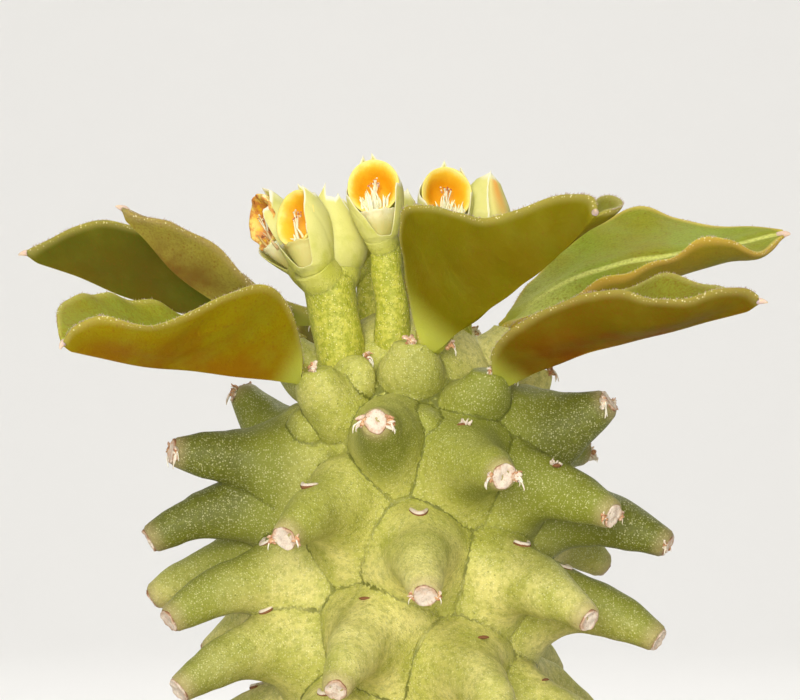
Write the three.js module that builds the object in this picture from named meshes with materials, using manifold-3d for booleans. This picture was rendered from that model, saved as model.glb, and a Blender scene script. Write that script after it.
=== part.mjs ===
// A potted succulent: a fleshy green column covered in drooping horn-shaped tubercles, with a crown of folded
// leaves and yellow cup flowers, standing in gritty soil in a plain clay pot.
// Millimetres, +Z up. The origin is the middle of the pot's underside. Azimuth 0 faces -Y and grows towards +X.
import * as THREE from "three";
import { mergeVertices } from "three/addons/utils/BufferGeometryUtils.js";
import Module from "manifold-3d";

const wasm = await Module();
wasm.setup();

const DEG = Math.PI / 180;
const CLEARANCE = 0.3; // left between two pieces that rest on each other
const FINEST = 0.12; // details smaller than this are smoothed away in the stem
const SLIVER = 0.03; // and slivers that cutting leaves, thinner than this, are closed up

// The pot and what fills it.
const POT = {
  height: 78, rimRadius: 45, rimHeight: 17, rimThickness: 6.5, shoulderRadius: 40.5,
  baseRadius: 31, wall: 4.5, floor: 6, drainRadius: 6, sides: 28,
};
const SOIL = { top: 71, roughness: 0.7, sides: 24 };

// The stem's own column, under the tubercles: [height, radius], and the stub that stands in the soil.
const STUB = { bottom: 54, radius: 8.6 };
const COLUMN = [
  [74, 9.4], [80, 10.4], [96, 10.8], [124, 10.8], [129, 10.0], [133, 8.6], [136, 6.9], [138, 5.0], [139.3, 2.6],
];
const COLUMN_SIDES = 14;

// Tubercles follow one spiral. Number 0 is the one that faces the front, and the numbers grow downwards.
const SPIRAL = { azimuth: -8, height: 128.9, turn: -82, rise: 1.04, first: -3, last: 46 };
// Those that stand a little off the spiral: number: [azimuth, height of the tip].
const OFF_SPIRAL = new Map([
  [-3, [-123, 131.4]], [-1, [70, 130.5]], [1, [-76, 125.8]], [3, [128, 125.3]], [4, [20.5, 124.0]],
  [6, [-150, 123.0]], [8, [49, 120.2]], [9, [-27.5, 118.4]], [10, [-130, 119.5]], [12, [77.5, 117.0]],
  [13, [3, 113.4]], [14, [-81.5, 117.4]], [16, [130, 114.0]], [17, [40.5, 110.8]], [18, [-63.5, 110.3]],
  [19, [-99, 111.5]], [21, [67.5, 108.4]], [22, [-15.5, 104.9]], [23, [-128, 105.5]], [25, [145, 103.0]],
  [27, [-58.5, 104.0]],
]);
const HORN = {
  reach: 25, youngReach: 4.5, youngSpan: 5, oldFrom: 34, oldLoss: 0.5,
  drop: 9.7, youngDrop: 7.2, dropSpan: 6,
  rootRadius: 2.9, tipRadius: 1.3, rootBelowArch: 4.5, start: 4, foot: 11,
  flareSide: 2.9, flareUp: 1.7, flareDown: 6.8, flareLength: 3.2, sides: 8,
};
const HORN_RINGS = [7.0, 10.4, 12.8, 15.6, 20.0]; // radial stations, before the ring at the tip
const STUNTED = { number: 5, azimuth: -57, height: 128.0, reach: 13.2 };
const SIDE_SHOOT = { azimuth: 5.5, height: 129.6, reach: 13.0 };

// Tubercles of the crown still point upwards and end in a leaf, or in the scar of one: number: azimuth, reach, height.
const CROWN = [
  { number: -4, azimuth: -47, reach: 13.5, height: 133.0 },
  { number: -5, azimuth: 40, reach: 13.2, height: 132.4 },
  { number: -6, azimuth: 124, reach: 14.6, height: 133.4 },
  { number: -7, azimuth: -172, reach: 13.0, height: 134.0 },
  { number: -8, azimuth: -85, reach: 11.5, height: 136.2 },
  { number: -9, azimuth: 8, reach: 9.7, height: 135.6 },
  { number: -10, azimuth: 92, reach: 9.5, height: 137.4 },
  { number: -11, azimuth: 172, reach: 8.5, height: 138.2 },
  { number: -12, azimuth: -122, reach: 8.8, height: 138.4 },
];
const CROWN_HORN = { below: 5.2, start: 2.5, rootRadius: 4.0, rootDown: 5.6, tipRadius: 1.9, sides: 8 };
const APEX_LEAFLETS = { count: 5, radius: 2.6, height: 138.6, length: 2.8, thickness: 0.75 };
const SPINE = { length: 1.25, radius: 0.28, spread: 42, youngest: -3, oldest: 12, sides: 3 };

// Leaves, each by three lines from its foot to its tip: the midrib and the two margins, at even shares of its
// length. Sag is how far each half bulges down between them, and point the direction of the small point at the tip.
const LEAVES = [
  { name: "leaf_front", tubercle: -9, sag: [0.9, 0.8], point: [-0.25, -0.95, 0.1],
    midrib: [[1.6, -9.9, 136], [4.2, -13, 137.5], [6.9, -16, 139.2], [9.9, -19, 141.1], [12.5, -22, 143.2],
      [14.7, -25, 145.4], [16.5, -28, 147.5]],
    near: [[1, -10, 136.3], [0.3, -9.6, 140.7], [-0.4, -10.6, 145.5], [-0.2, -12.6, 148.6], [2.5, -16, 148.5],
      [5.6, -19.4, 147.3], [8.9, -22.1, 147.8], [12.2, -24.4, 148.9], [14.6, -26.3, 149.3],
      [16.6, -27.6, 149.3], [16.6, -28.2, 147.8]],
    far: [[2.5, -9.6, 135.9], [3.6, -8.7, 139.2], [5.5, -8.1, 143.7], [7.8, -8.7, 146.7], [10.2, -10.5, 147.9],
      [12.3, -12.7, 148.3], [14.4, -15.4, 148.6], [16.5, -18.5, 148.9], [18.4, -21.8, 149.2],
      [18.7, -25.1, 148.8], [16.8, -28, 147.6]],
  },
  { name: "leaf_front_right", tubercle: -5, sag: [1.0, 0.6], point: [0.9, -0.3, -0.35],
    midrib: [[8.4, -10.2, 132.6], [11.6, -12.3, 134.1], [15.3, -14.4, 135.5], [19.3, -16.3, 136.7],
      [23.2, -17.9, 137.7], [27.3, -19.3, 138.8], [31.5, -20.6, 139.9]],
    near: [[7.7, -11, 133.2], [7.5, -13.4, 135.1], [9.1, -16.8, 137.2], [12.1, -19.4, 139.1],
      [15.5, -21.2, 140.4], [18.8, -22.2, 140.7], [21.7, -22.5, 140], [24.6, -22.7, 140.2],
      [27.4, -22.4, 140.9], [30, -21.6, 141], [31.5, -20.8, 140.2]],
    far: [[9.2, -9.4, 132.8], [11, -7.6, 135.3], [13.4, -7.3, 137.8], [16, -8, 139.7], [18.7, -9, 140.9],
      [21.3, -10.2, 141.8], [23.7, -11.7, 142.4], [26.2, -13.7, 141.7], [28.6, -16.1, 141],
      [30.4, -18.4, 140.5], [31.5, -20.4, 140.1]],
  },
  { name: "leaf_right", tubercle: -10, sag: [2.3, 0.6], point: [0.95, -0.1, -0.25],
    midrib: [[9.5, 0.3, 137.5], [12.4, 0.6, 140.3], [16.5, 0.9, 142.3], [20.7, 1.1, 143.6], [25.5, 1.2, 144.4],
      [30.8, 0.9, 145.2], [35.8, 0.3, 146.5]],
    near: [[9.1, -0.6, 137.1], [10.2, -3.2, 138.1], [12.3, -5, 139], [14.9, -6.3, 140.1], [17.8, -7.1, 141.5],
      [20.7, -7.4, 142.8], [23.8, -7.5, 144.2], [27, -7.3, 145.4], [29.8, -6.6, 145.8], [32.6, -4.3, 145.4],
      [35.7, 0, 146.4]],
    far: [[9.2, 1.2, 138], [9.9, 3.7, 139.4], [11.1, 6.4, 141.1], [13.1, 8.6, 143.4], [16.1, 10.3, 146.2],
      [19.8, 11.2, 148.6], [22.9, 11.1, 149], [26, 10.1, 148.2], [29.4, 7.9, 147.4], [32.8, 4.6, 147.2],
      [35.8, 0.6, 146.8]],
  },
  { name: "leaf_front_left", tubercle: -4, sag: [1.0, 0.7], point: [-0.1, -0.3, -0.95],
    midrib: [[-10.2, -9.6, 132.8], [-13.6, -11.9, 132.6], [-17.3, -14.1, 132.9], [-21.1, -16.3, 133.5],
      [-24.8, -18.4, 134.1], [-28.2, -20.3, 134.9], [-31.4, -22.2, 135.9]],
    near: [[-9.9, -10.4, 133.7], [-10.2, -12.2, 136.3], [-11.2, -15.2, 139.4], [-13, -18.2, 141.2],
      [-16.1, -20.6, 140.6], [-19.5, -22.6, 138.9], [-22.5, -23.8, 137.6], [-25.2, -24.2, 137.8],
      [-28, -24.1, 138.2], [-30.2, -23.4, 137.5], [-31.3, -22.4, 136.1]],
    far: [[-10.5, -8.8, 132.7], [-12.7, -7.1, 134.9], [-15.1, -5.9, 137], [-17.7, -5.4, 138.5],
      [-20.5, -5.6, 138.7], [-23.1, -6.7, 139.2], [-25.6, -8.7, 139.9], [-28.1, -11.4, 140.6],
      [-30.1, -14.6, 140.4], [-32, -18.2, 139.2], [-31.7, -21.8, 136.7]],
  },
  { name: "leaf_left", tubercle: -8, sag: [0.5, 0.5], point: [-0.97, -0.1, 0.1],
    midrib: [[-11.3, -1, 136.2], [-14.2, -1.7, 137.5], [-17.1, -2.3, 139.1], [-20, -2.7, 141],
      [-22.7, -3, 143.1], [-25.1, -3.3, 146.1], [-27.3, -3.5, 148.7]],
    near: [[-11, -1.9, 136.6], [-11.6, -3.6, 138.3], [-12.8, -4.9, 140], [-14.6, -5.8, 141.7],
      [-16.3, -6.2, 143.1], [-18.1, -6.4, 144.7], [-20.2, -6.3, 146.2], [-22, -6, 147.2], [-23.8, -5.4, 147.7],
      [-25.6, -4.6, 148.1], [-27.3, -3.7, 148.9]],
    far: [[-11.4, -0.2, 136.6], [-11.9, 0.5, 138], [-13.1, 1.1, 139.6], [-15, 1.6, 141.5], [-16.8, 1.9, 143],
      [-18.7, 2, 144.6], [-20.8, 1.8, 146], [-22.5, 1.3, 147], [-24.2, 0.1, 147.6], [-25.8, -1.5, 148.1],
      [-27.3, -3.2, 148.8]],
  },
  { name: "leaf_back_left", tubercle: -12, sag: [0.9, 0.6], point: [-0.8, 0.2, -0.5],
    midrib: [[-8.5, 5.1, 138.4], [-13.2, 7.5, 137.8], [-18.1, 9.3, 138.2], [-23.1, 10.7, 139.1],
      [-27.9, 11.8, 140.5], [-32.8, 12.6, 142.6], [-37.8, 13.1, 144.8]],
    near: [[-8.4, 4.4, 138.8], [-10.3, 4.9, 139.5], [-13.3, 5.2, 140.8], [-16.3, 5, 142.8], [-19.1, 4.8, 144.6],
      [-22, 5, 146], [-25.2, 5.6, 146.9], [-29.3, 7.2, 147.8], [-32.7, 9.4, 147.3], [-35.4, 11.4, 146.1],
      [-37.8, 12.9, 145.1]],
    far: [[-8.8, 6.1, 138.6], [-10.9, 8.5, 139.4], [-14, 11.5, 140.8], [-17.2, 14.3, 142.4],
      [-20.3, 16.6, 143.7], [-23.5, 18.1, 144.5], [-26.7, 18.9, 145.2], [-29.9, 18.8, 145.8],
      [-32.6, 17.5, 145.9], [-35.3, 15.6, 145.6], [-37.8, 13.3, 145]],
  },
  { name: "leaf_back_young", tubercle: -11, sag: [0.5, 0.5], point: [0, 0.9, 0.3],
    midrib: [[1.2, 8.6, 138.6], [1.5, 10.9, 140.8], [1.9, 13.2, 142.9], [2.2, 15.7, 144.9], [2.6, 18.2, 146.7],
      [2.9, 20.8, 148.5], [3.3, 23.5, 150.1]],
    near: [[2.3, 7.6, 139.4], [2.9, 8.6, 141.1], [4.1, 9.3, 143.1], [5, 10.4, 144.7], [5.6, 11.7, 146.1],
      [5.9, 13.1, 147.5], [5.9, 14.6, 148.8], [5.6, 16.5, 149.8], [5.1, 18.6, 150.2], [4.4, 21, 150.3],
      [3.5, 23.4, 150.3]],
    far: [[-0.2, 8, 139.4], [-0.4, 9.2, 140.9], [-1.3, 10.3, 142.9], [-1.9, 11.3, 144.7], [-2.2, 12.5, 146.5],
      [-2.1, 13.8, 148], [-1.6, 15.6, 149], [-0.8, 17.6, 149.5], [0.3, 19.6, 149.8], [1.6, 21.5, 150.2],
      [3.1, 23.4, 150.3]],
  },
  { name: "leaf_back_low", tubercle: -7, sag: [0.8, 0.8], point: [0, 0.8, -0.6],
    midrib: [[-1.8, 13.1, 134.1], [-2.3, 17.4, 134.2], [-2.7, 21.7, 134], [-3.2, 26, 133.6],
      [-3.6, 30.3, 133.1], [-4.1, 34.5, 132.3], [-4.5, 38.7, 131.4]],
    near: [[-0.4, 13.2, 134.9], [1.3, 16, 135.8], [3.2, 18.9, 136.8], [4.5, 21.8, 138.1], [5.1, 24.7, 139.3],
      [5, 27.5, 139.5], [4.3, 30, 138.3], [2.9, 32.4, 136.4], [1, 34.6, 134.8], [-1.4, 36.8, 133.4],
      [-4.3, 38.8, 131.5]],
    far: [[-3.3, 12.9, 134.9], [-5.5, 15.3, 136.2], [-8, 17.7, 138], [-9.8, 20.3, 139], [-11, 22.9, 138.7],
      [-11.5, 25.5, 137.7], [-11.3, 28.2, 136.8], [-10.5, 31, 136.4], [-9.1, 33.7, 135.7], [-7.2, 36.3, 134],
      [-4.8, 38.7, 131.5]],
  },
];
const BLADE = {
  along: 8, shares: [-1, -0.55, 0, 0.55, 1], midribHalf: 0.62, marginHalf: 0.32, footHalf: 0.95,
  footShare: 0.14, sunk: 0.7, pointLength: 1.5, pointRadius: 0.36,
};

// Flower clusters: a stalk from foot to top, and the bract cups on it. Each cup has its foot, the azimuth that it
// leans and faces to, its lean from upright and its size against the largest.
const CLUSTERS = [
  { name: "left", foot: [-6.3, -5.6, 133.6], top: [-7.7, -5.8, 142.0], radius: [2.3, 2.35], cups: [
    { name: "a", foot: [-8.7, -7.4, 143.2], lean: [-98, 16], face: -38, size: 1.02 },
    { name: "b", foot: [-10.6, -3.0, 143.4], lean: [-84, 30], face: -72, size: 1.06 },
    { name: "c", foot: [-7.4, -3.1, 141.9], lean: [120, 7], face: 150, size: 1.06 },
  ] },
  { name: "middle", foot: [-1.4, -5.4, 134.2], top: [-2.3, -6.7, 145.4], radius: [1.6, 1.5], cups: [
    { name: "a", foot: [-2.6, -7.3, 145.2], lean: [-70, 9], face: -6, size: 1.02 },
    { name: "b", foot: [-1.6, -4.2, 144.4], lean: [170, 32], face: 165, size: 0.7 },
  ] },
  { name: "right", foot: [4.0, -1.6, 135.6], top: [4.2, -2.2, 144.8], radius: [1.7, 1.6], cups: [
    { name: "a", foot: [3.8, -3.0, 144.8], lean: [-20, 5], face: 10, size: 1.0 },
    { name: "bud", foot: [6.2, -0.3, 144.9], lean: [86, 14], face: 60, size: 0.92 },
  ] },
  { name: "back", foot: [-2.3, 3.4, 135.6], top: [-3.4, 3.9, 143.6], radius: [1.7, 1.6], cups: [
    { name: "a", foot: [-4.9, 3.8, 143.4], lean: [-100, 16], face: -140, size: 0.98 },
    { name: "b", foot: [-2.6, 6.2, 143.2], lean: [165, 22], face: 165, size: 0.95 },
    { name: "bud", foot: [-1.6, 2.6, 143.4], lean: [75, 10], face: 60, size: 0.9 },
  ] },
];
const CUP = {
  height: 8.1, frontHeight: 1.5, rise: 0.8, radius: 2.65, neck: 1.25, wall: 0.6, belly: 0.55,
  toothHeight: 0.8, toothAzimuth: 22, toothWidth: 12, sides: 12, outerRings: 3, innerRings: 3, topPinch: 0.42,
};
const HOOD = {
  centre: 5.15, forward: 0.3, rim: 0.25, width: 1.72, height: 2.55, depth: 1.55, wall: 0.5, tilt: 24, sides: 10,
  rings: 1, tubeRadius: 0.8, tubeFoot: 2.1, stamenRadius: 0.5, stamenLength: 1.9,
};

const COLOURS = {
  clay: 0xb5623c, soil: 0x6b5644, stem: 0x9caa4b, leaf: 0x93a03c, bract: 0xc9d07c, gland: 0xf0b53a,
};
const FINISH = {
  clay: { color: COLOURS.clay, roughness: 0.9, metalness: 0 },
  soil: { color: COLOURS.soil, roughness: 1, metalness: 0 },
  stem: { color: COLOURS.stem, roughness: 0.62, metalness: 0 },
  leaf: { color: COLOURS.leaf, roughness: 0.6, metalness: 0 },
  bract: { color: COLOURS.bract, roughness: 0.5, metalness: 0 },
  gland: { color: COLOURS.gland, roughness: 0.4, metalness: 0 },
};

const outward = (azimuth) => new THREE.Vector3(Math.sin(azimuth * DEG), -Math.cos(azimuth * DEG), 0);
const sideways = (azimuth) => new THREE.Vector3(Math.cos(azimuth * DEG), Math.sin(azimuth * DEG), 0);
const UP = new THREE.Vector3(0, 0, 1);
const mix = (a, b, share) => a + (b - a) * share;

// The same random numbers on every run.
function seededRandom(seed) {
  let state = seed;
  return () => {
    state = (state + 0x6d2b79f5) | 0;
    let t = Math.imul(state ^ (state >>> 15), 1 | state);
    t = (t + Math.imul(t ^ (t >>> 7), 61 | t)) ^ t;
    return ((t ^ (t >>> 14)) >>> 0) / 4294967296;
  };
}

// A closed solid from a list of points and a list of triangles. A list that is wound inwards is turned round.
function solidFrom(points, triangles) {
  const geometry = new THREE.BufferGeometry();
  geometry.setAttribute("position", new THREE.Float32BufferAttribute(points.flatMap((p) => [p.x, p.y, p.z]), 3));
  const triple = new THREE.Vector3();
  const volume = triangles.reduce(
    (sum, [a, b, c]) => sum + points[a].dot(triple.crossVectors(points[b], points[c])), 0);
  geometry.setIndex(triangles.flatMap(([a, b, c]) => (volume > 0 ? [a, b, c] : [a, c, b])));
  const merged = mergeVertices(geometry, 1e-4);
  return new wasm.Manifold(new wasm.Mesh({
    numProp: 3,
    vertProperties: new Float32Array(merged.attributes.position.array),
    triVerts: new Uint32Array(merged.index.array),
  }));
}

// A skin over rings of equally many points, closed by a fan at each end round the two given points.
function skin(rings, startPoint, endPoint) {
  const sides = rings[0].length;
  const points = [...rings.flat(), startPoint, endPoint];
  const start = points.length - 2;
  const end = points.length - 1;
  const triangles = [];
  for (let side = 0; side < sides; side++) {
    const next = (side + 1) % sides;
    triangles.push([start, next, side]);
    for (let ring = 0; ring + 1 < rings.length; ring++) {
      const low = ring * sides;
      const high = low + sides;
      triangles.push([low + side, low + next, high + next], [low + side, high + next, high + side]);
    }
    const last = (rings.length - 1) * sides;
    triangles.push([last + side, last + next, end]);
  }
  return solidFrom(points, triangles);
}

const middleOf = (ring) => ring.reduce((sum, p) => sum.add(p), new THREE.Vector3()).divideScalar(ring.length);

// A skin whose two ends are closed flat.
const tube = (rings) => skin(rings, middleOf(rings[0]), middleOf(rings[rings.length - 1]));

// One ring: half-widths to the side, up and down, in the plane of the two given directions.
function oval(centre, sideDirection, upDirection, side, up, down, sides) {
  return Array.from({ length: sides }, (_, k) => {
    const angle = (2 * Math.PI * k) / sides;
    const height = Math.sin(angle) * (Math.sin(angle) > 0 ? up : down);
    return centre.clone().addScaledVector(sideDirection, side * Math.cos(angle)).addScaledVector(upDirection, height);
  });
}

// The largest body of a solid: hollows that joining sealed are filled, and loose scraps are dropped.
function wholeBody(solid) {
  const bodies = solid.decompose();
  return bodies.reduce((largest, body) => (body.volume() > largest.volume() ? body : largest));
}

// The largest body of a solid, without details smaller than a size.
const smoothed = (solid, size) => wholeBody(solid).asOriginal().simplify(size);

// A solid turned about the vertical axis from [radius, height] points that close on themselves.
function turned(profile, sides) {
  const loop = [...profile, profile[0]].map(([radius, height]) => new THREE.Vector2(radius, height));
  const geometry = new THREE.LatheGeometry(loop, sides).rotateX(Math.PI / 2);
  geometry.deleteAttribute("normal");
  geometry.deleteAttribute("uv");
  const merged = mergeVertices(geometry, 1e-4);
  const at = merged.attributes.position;
  const points = Array.from({ length: at.count }, (_, i) => new THREE.Vector3().fromBufferAttribute(at, i));
  const index = Array.from(merged.index.array);
  return solidFrom(points, Array.from({ length: index.length / 3 }, (_, i) => index.slice(3 * i, 3 * i + 3)));
}

function meshOf(name, solid, finish) {
  const { vertProperties, triVerts } = solid.getMesh();
  const geometry = new THREE.BufferGeometry();
  geometry.setAttribute("position", new THREE.BufferAttribute(vertProperties, 3));
  geometry.setIndex(new THREE.BufferAttribute(triVerts, 1));
  geometry.computeVertexNormals();
  const mesh = new THREE.Mesh(geometry, new THREE.MeshStandardMaterial(finish));
  mesh.name = name;
  return mesh;
}

// The pot's inner radius at a height above its floor.
const potInside = (height) => mix(POT.baseRadius, POT.shoulderRadius, height / (POT.height - POT.rimHeight)) - POT.wall;

function pot() {
  const shoulder = POT.height - POT.rimHeight;
  const inner = POT.rimRadius - POT.rimThickness;
  return turned([
    [POT.drainRadius, 0], [POT.baseRadius - 1, 0], [POT.baseRadius, 1], [POT.shoulderRadius, shoulder],
    [POT.rimRadius - 1, shoulder + 0.6], [POT.rimRadius, shoulder + 2], [POT.rimRadius, POT.height - 2],
    [POT.rimRadius - 1.5, POT.height], [inner + 1.5, POT.height], [inner, POT.height - 1.5],
    [potInside(shoulder), shoulder - 1], [potInside(POT.floor + 3), POT.floor + 3],
    [potInside(POT.floor) - 3, POT.floor], [POT.drainRadius, POT.floor],
  ], POT.sides);
}

// Soil up to below the rim, with a rough top and a plain hole for the stem's stub.
function soil() {
  const random = seededRandom(7);
  const shoulder = POT.height - POT.rimHeight;
  const wallAt = (height) => (height > shoulder
    ? mix(potInside(shoulder), POT.rimRadius - POT.rimThickness, (height - shoulder + 1) / (POT.rimHeight - 0.5))
    : potInside(height)) - 2 * CLEARANCE;
  const ring = (radius, height, bump = 0) => Array.from({ length: SOIL.sides }, (_, k) => {
    const angle = (2 * Math.PI * k) / SOIL.sides;
    const z = height + bump * (2 * random() - 1);
    return new THREE.Vector3(radius * Math.cos(angle), radius * Math.sin(angle), z);
  });
  const hole = STUB.radius + CLEARANCE;
  const neck = COLUMN[0][1] + CLEARANCE;
  const floor = POT.floor + CLEARANCE;
  const outer = wallAt(SOIL.top);
  const rings = [
    ring(wallAt(POT.floor) - 3.4, floor), ring(wallAt(POT.floor + 4), POT.floor + 4),
    ring(wallAt(shoulder - 1), shoulder - 1), ring(outer, SOIL.top - 1),
    ...[0.95, 0.8, 0.65, 0.5].map((share) => ring(outer * share, SOIL.top, SOIL.roughness)),
    ring(neck + 2.5, SOIL.top + 0.4, SOIL.roughness * 0.5), ring(neck, SOIL.top), ring(hole, STUB.bottom + 6),
    ring(hole, STUB.bottom - CLEARANCE),
  ];
  return tube(rings);
}

// How far a tubercle of the column reaches, and how far its tip hangs below the arch of its base.
const reachOf = (number) => HORN.reach - HORN.youngReach * Math.exp(-(number + 3) / HORN.youngSpan)
  - Math.max(0, number - HORN.oldFrom) * HORN.oldLoss;
const dropOf = (number) => HORN.drop - HORN.youngDrop * Math.exp(-number / HORN.dropSpan);

// The tubercles of the column, each with its number, azimuth, reach, tip height and drop.
function columnTubercles() {
  const found = [];
  for (let number = SPIRAL.first; number <= SPIRAL.last; number++) {
    if (number === STUNTED.number) continue;
    const spiral = [SPIRAL.azimuth + SPIRAL.turn * number, SPIRAL.height - SPIRAL.rise * number];
    const [azimuth, height] = OFF_SPIRAL.get(number) ?? spiral;
    found.push({ number, azimuth, height, reach: reachOf(number), drop: dropOf(number) });
  }
  return found;
}

// The point and the direction of a tubercle's curve, which bends from level to its tip: radius and height.
function hornCurve(tubercle, share) {
  const root = tubercle.height + tubercle.drop - HORN.rootBelowArch;
  const curve = new THREE.QuadraticBezierCurve(
    new THREE.Vector2(HORN.start, root),
    new THREE.Vector2(mix(HORN.foot, tubercle.reach, 0.45), root),
    new THREE.Vector2(tubercle.reach, tubercle.height));
  return { at: curve.getPoint(share), along: curve.getTangent(share) };
}

// A tubercle: a broad base that narrows into a plump horn, and ends in the flat scar of its fallen leaf.
function horn(tubercle) {
  const out = outward(tubercle.azimuth);
  const side = sideways(tubercle.azimuth);
  const stations = HORN_RINGS.filter((radius) => radius < tubercle.reach - 1.5);
  const rings = [...stations, tubercle.reach].map((radius) => {
    const share = Math.min(1, (radius - HORN.start) / (tubercle.reach - HORN.start));
    const { at, along } = hornCurve(tubercle, share);
    const grown = Math.max(0, (at.x - HORN.foot) / (tubercle.reach - HORN.foot));
    const plump = HORN.tipRadius + (HORN.rootRadius - HORN.tipRadius) * (1 - grown ** 2.2);
    const flare = Math.exp(-((Math.max(0, at.x - HORN.foot) / HORN.flareLength) ** 1.5));
    const lean = 1 - flare; // the base stands upright, and the horn is square to its own curve
    const up = new THREE.Vector3().addScaledVector(out, -along.y * lean).addScaledVector(UP, mix(1, along.x, lean));
    const centre = out.clone().multiplyScalar(at.x).addScaledVector(UP, at.y);
    return oval(centre, side, up.normalize(), plump + HORN.flareSide * flare, plump + HORN.flareUp * flare,
      plump + HORN.flareDown * flare, HORN.sides);
  });
  return tube(rings);
}

// A pair of dry spines beside the scar at a tubercle's tip.
function spines(tubercle) {
  const { at, along } = hornCurve(tubercle, 0.97);
  const out = outward(tubercle.azimuth);
  const side = sideways(tubercle.azimuth);
  const tangent = out.clone().multiplyScalar(along.x).addScaledVector(UP, along.y);
  const up = out.clone().multiplyScalar(-along.y).addScaledVector(UP, along.x);
  return [-1, 1].map((hand) => {
    const root = out.clone().multiplyScalar(at.x).addScaledVector(UP, at.y)
      .addScaledVector(side, hand * (HORN.tipRadius - 0.3));
    const way = side.clone().multiplyScalar(hand * Math.sin(SPINE.spread * DEG))
      .addScaledVector(tangent, Math.cos(SPINE.spread * DEG));
    const base = oval(root, up, tangent, SPINE.radius, SPINE.radius, SPINE.radius, SPINE.sides);
    return skin([base], root.clone().addScaledVector(way, -0.3), root.clone().addScaledVector(way, SPINE.length + 0.3));
  });
}

// Where a crown tubercle ends, and the direction that it ends in.
function crownTip(tubercle) {
  const start = new THREE.Vector2(CROWN_HORN.start, tubercle.height - CROWN_HORN.below);
  const curve = new THREE.QuadraticBezierCurve(start,
    new THREE.Vector2(tubercle.reach * 0.92, tubercle.height - CROWN_HORN.below * 0.72),
    new THREE.Vector2(tubercle.reach, tubercle.height));
  return curve;
}

function crownHorn(tubercle) {
  const out = outward(tubercle.azimuth);
  const side = sideways(tubercle.azimuth);
  const curve = crownTip(tubercle);
  const rings = [0, 0.3, 0.55, 0.78, 1].map((share) => {
    const at = curve.getPoint(share);
    const along = curve.getTangent(share);
    const up = new THREE.Vector3().addScaledVector(out, -along.y).addScaledVector(UP, along.x);
    const centre = out.clone().multiplyScalar(at.x).addScaledVector(UP, at.y);
    const width = mix(CROWN_HORN.rootRadius, CROWN_HORN.tipRadius, share ** 1.6);
    const down = mix(CROWN_HORN.rootDown, CROWN_HORN.tipRadius * 0.8, share ** 0.9);
    return oval(centre, side, up, width, width * 0.8, down, CROWN_HORN.sides);
  });
  return tube(rings);
}

// A small round tubercle that never grew out, wedged between its neighbours.
function smallBump({ azimuth, height, reach }) {
  const out = outward(azimuth);
  const rings = [[9, 2.4], [reach - 1.2, 2.1], [reach - 0.3, 1.1]].map(([radius, size]) =>
    oval(out.clone().multiplyScalar(radius).addScaledVector(UP, height), sideways(azimuth), UP, size, size, size, 8));
  return tube(rings);
}

function apexLeaflet(number) {
  const azimuth = 40 + number * SPIRAL.turn;
  const out = outward(azimuth);
  const root = out.clone().multiplyScalar(APEX_LEAFLETS.radius).addScaledVector(UP, APEX_LEAFLETS.height - 1);
  const tip = root.clone().addScaledVector(UP, APEX_LEAFLETS.length).addScaledVector(out, 0.5);
  const { thickness } = APEX_LEAFLETS;
  const rings = [0, 0.6].map((share) =>
    oval(root.clone().lerp(tip, share), sideways(azimuth), out, thickness * 1.3, thickness, thickness, 6));
  return skin(rings, root, tip);
}

// The column on its stub, as one turned solid.
function column() {
  const ring = ([height, radius]) => oval(UP.clone().multiplyScalar(height), outward(90), outward(180), radius, radius,
    radius, COLUMN_SIDES);
  const profile = [[STUB.bottom, STUB.radius * 0.7], [STUB.bottom + 5, STUB.radius], [70, STUB.radius], ...COLUMN];
  const top = COLUMN[COLUMN.length - 1][0] + 0.7;
  return skin(profile.map(ring), UP.clone().multiplyScalar(STUB.bottom), UP.clone().multiplyScalar(top));
}

// A round stalk along a straight line.
function stalk(foot, top, radii, sides = 10, extra = 0) {
  const from = new THREE.Vector3(...foot);
  const to = new THREE.Vector3(...top);
  const along = to.clone().sub(from).normalize();
  const side = new THREE.Vector3(1, 0, 0).addScaledVector(along, -along.x).normalize();
  const other = new THREE.Vector3().crossVectors(along, side);
  const rings = [0, 0.5, 1].map((share) => {
    const radius = mix(radii[0], radii[1], share) + extra;
    return oval(from.clone().lerp(to, share), side, other, radius, radius, radius, sides);
  });
  return tube(rings);
}

function stem() {
  const tubercles = columnTubercles();
  const spined = tubercles.filter(({ number }) => number >= SPINE.youngest && number <= SPINE.oldest);
  const leaflets = Array.from({ length: APEX_LEAFLETS.count }, (_, k) => apexLeaflet(k));
  const grown = wasm.Manifold.union([
    column(), ...tubercles.map(horn), ...CROWN.map(crownHorn), ...spined.flatMap(spines), ...leaflets,
    smallBump(STUNTED), smallBump(SIDE_SHOOT),
  ]);
  // Each flower stalk and leaf stands in a plain socket, and nothing of the stem but its neck meets the soil.
  const sockets = CLUSTERS.map(({ foot, top, radius }) => {
    const below = foot.map((value, i) => value - (i === 2 ? CLEARANCE : 0));
    return stalk(below, top, radius, 10, CLEARANCE);
  });
  const clearOfSoil = turned([
    [COLUMN[0][1], SOIL.top - 6], [60, SOIL.top - 6], [60, COLUMN[0][0]], [COLUMN[0][1], COLUMN[0][0]],
  ], 24);
  const rooms = wasm.Manifold.union([...sockets, ...LEAVES.map(footRoom), clearOfSoil]);
  return wholeBody(smoothed(smoothed(grown, FINEST).subtract(rooms), SLIVER));
}

// The three lines of a leaf as curves.
function leafCurves(leaf) {
  const curve = (points) => new THREE.CatmullRomCurve3(points.map((p) => new THREE.Vector3(...p)), false, "catmullrom");
  return { midrib: curve(leaf.midrib), near: curve(leaf.near), far: curve(leaf.far), sag: leaf.sag };
}

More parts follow.
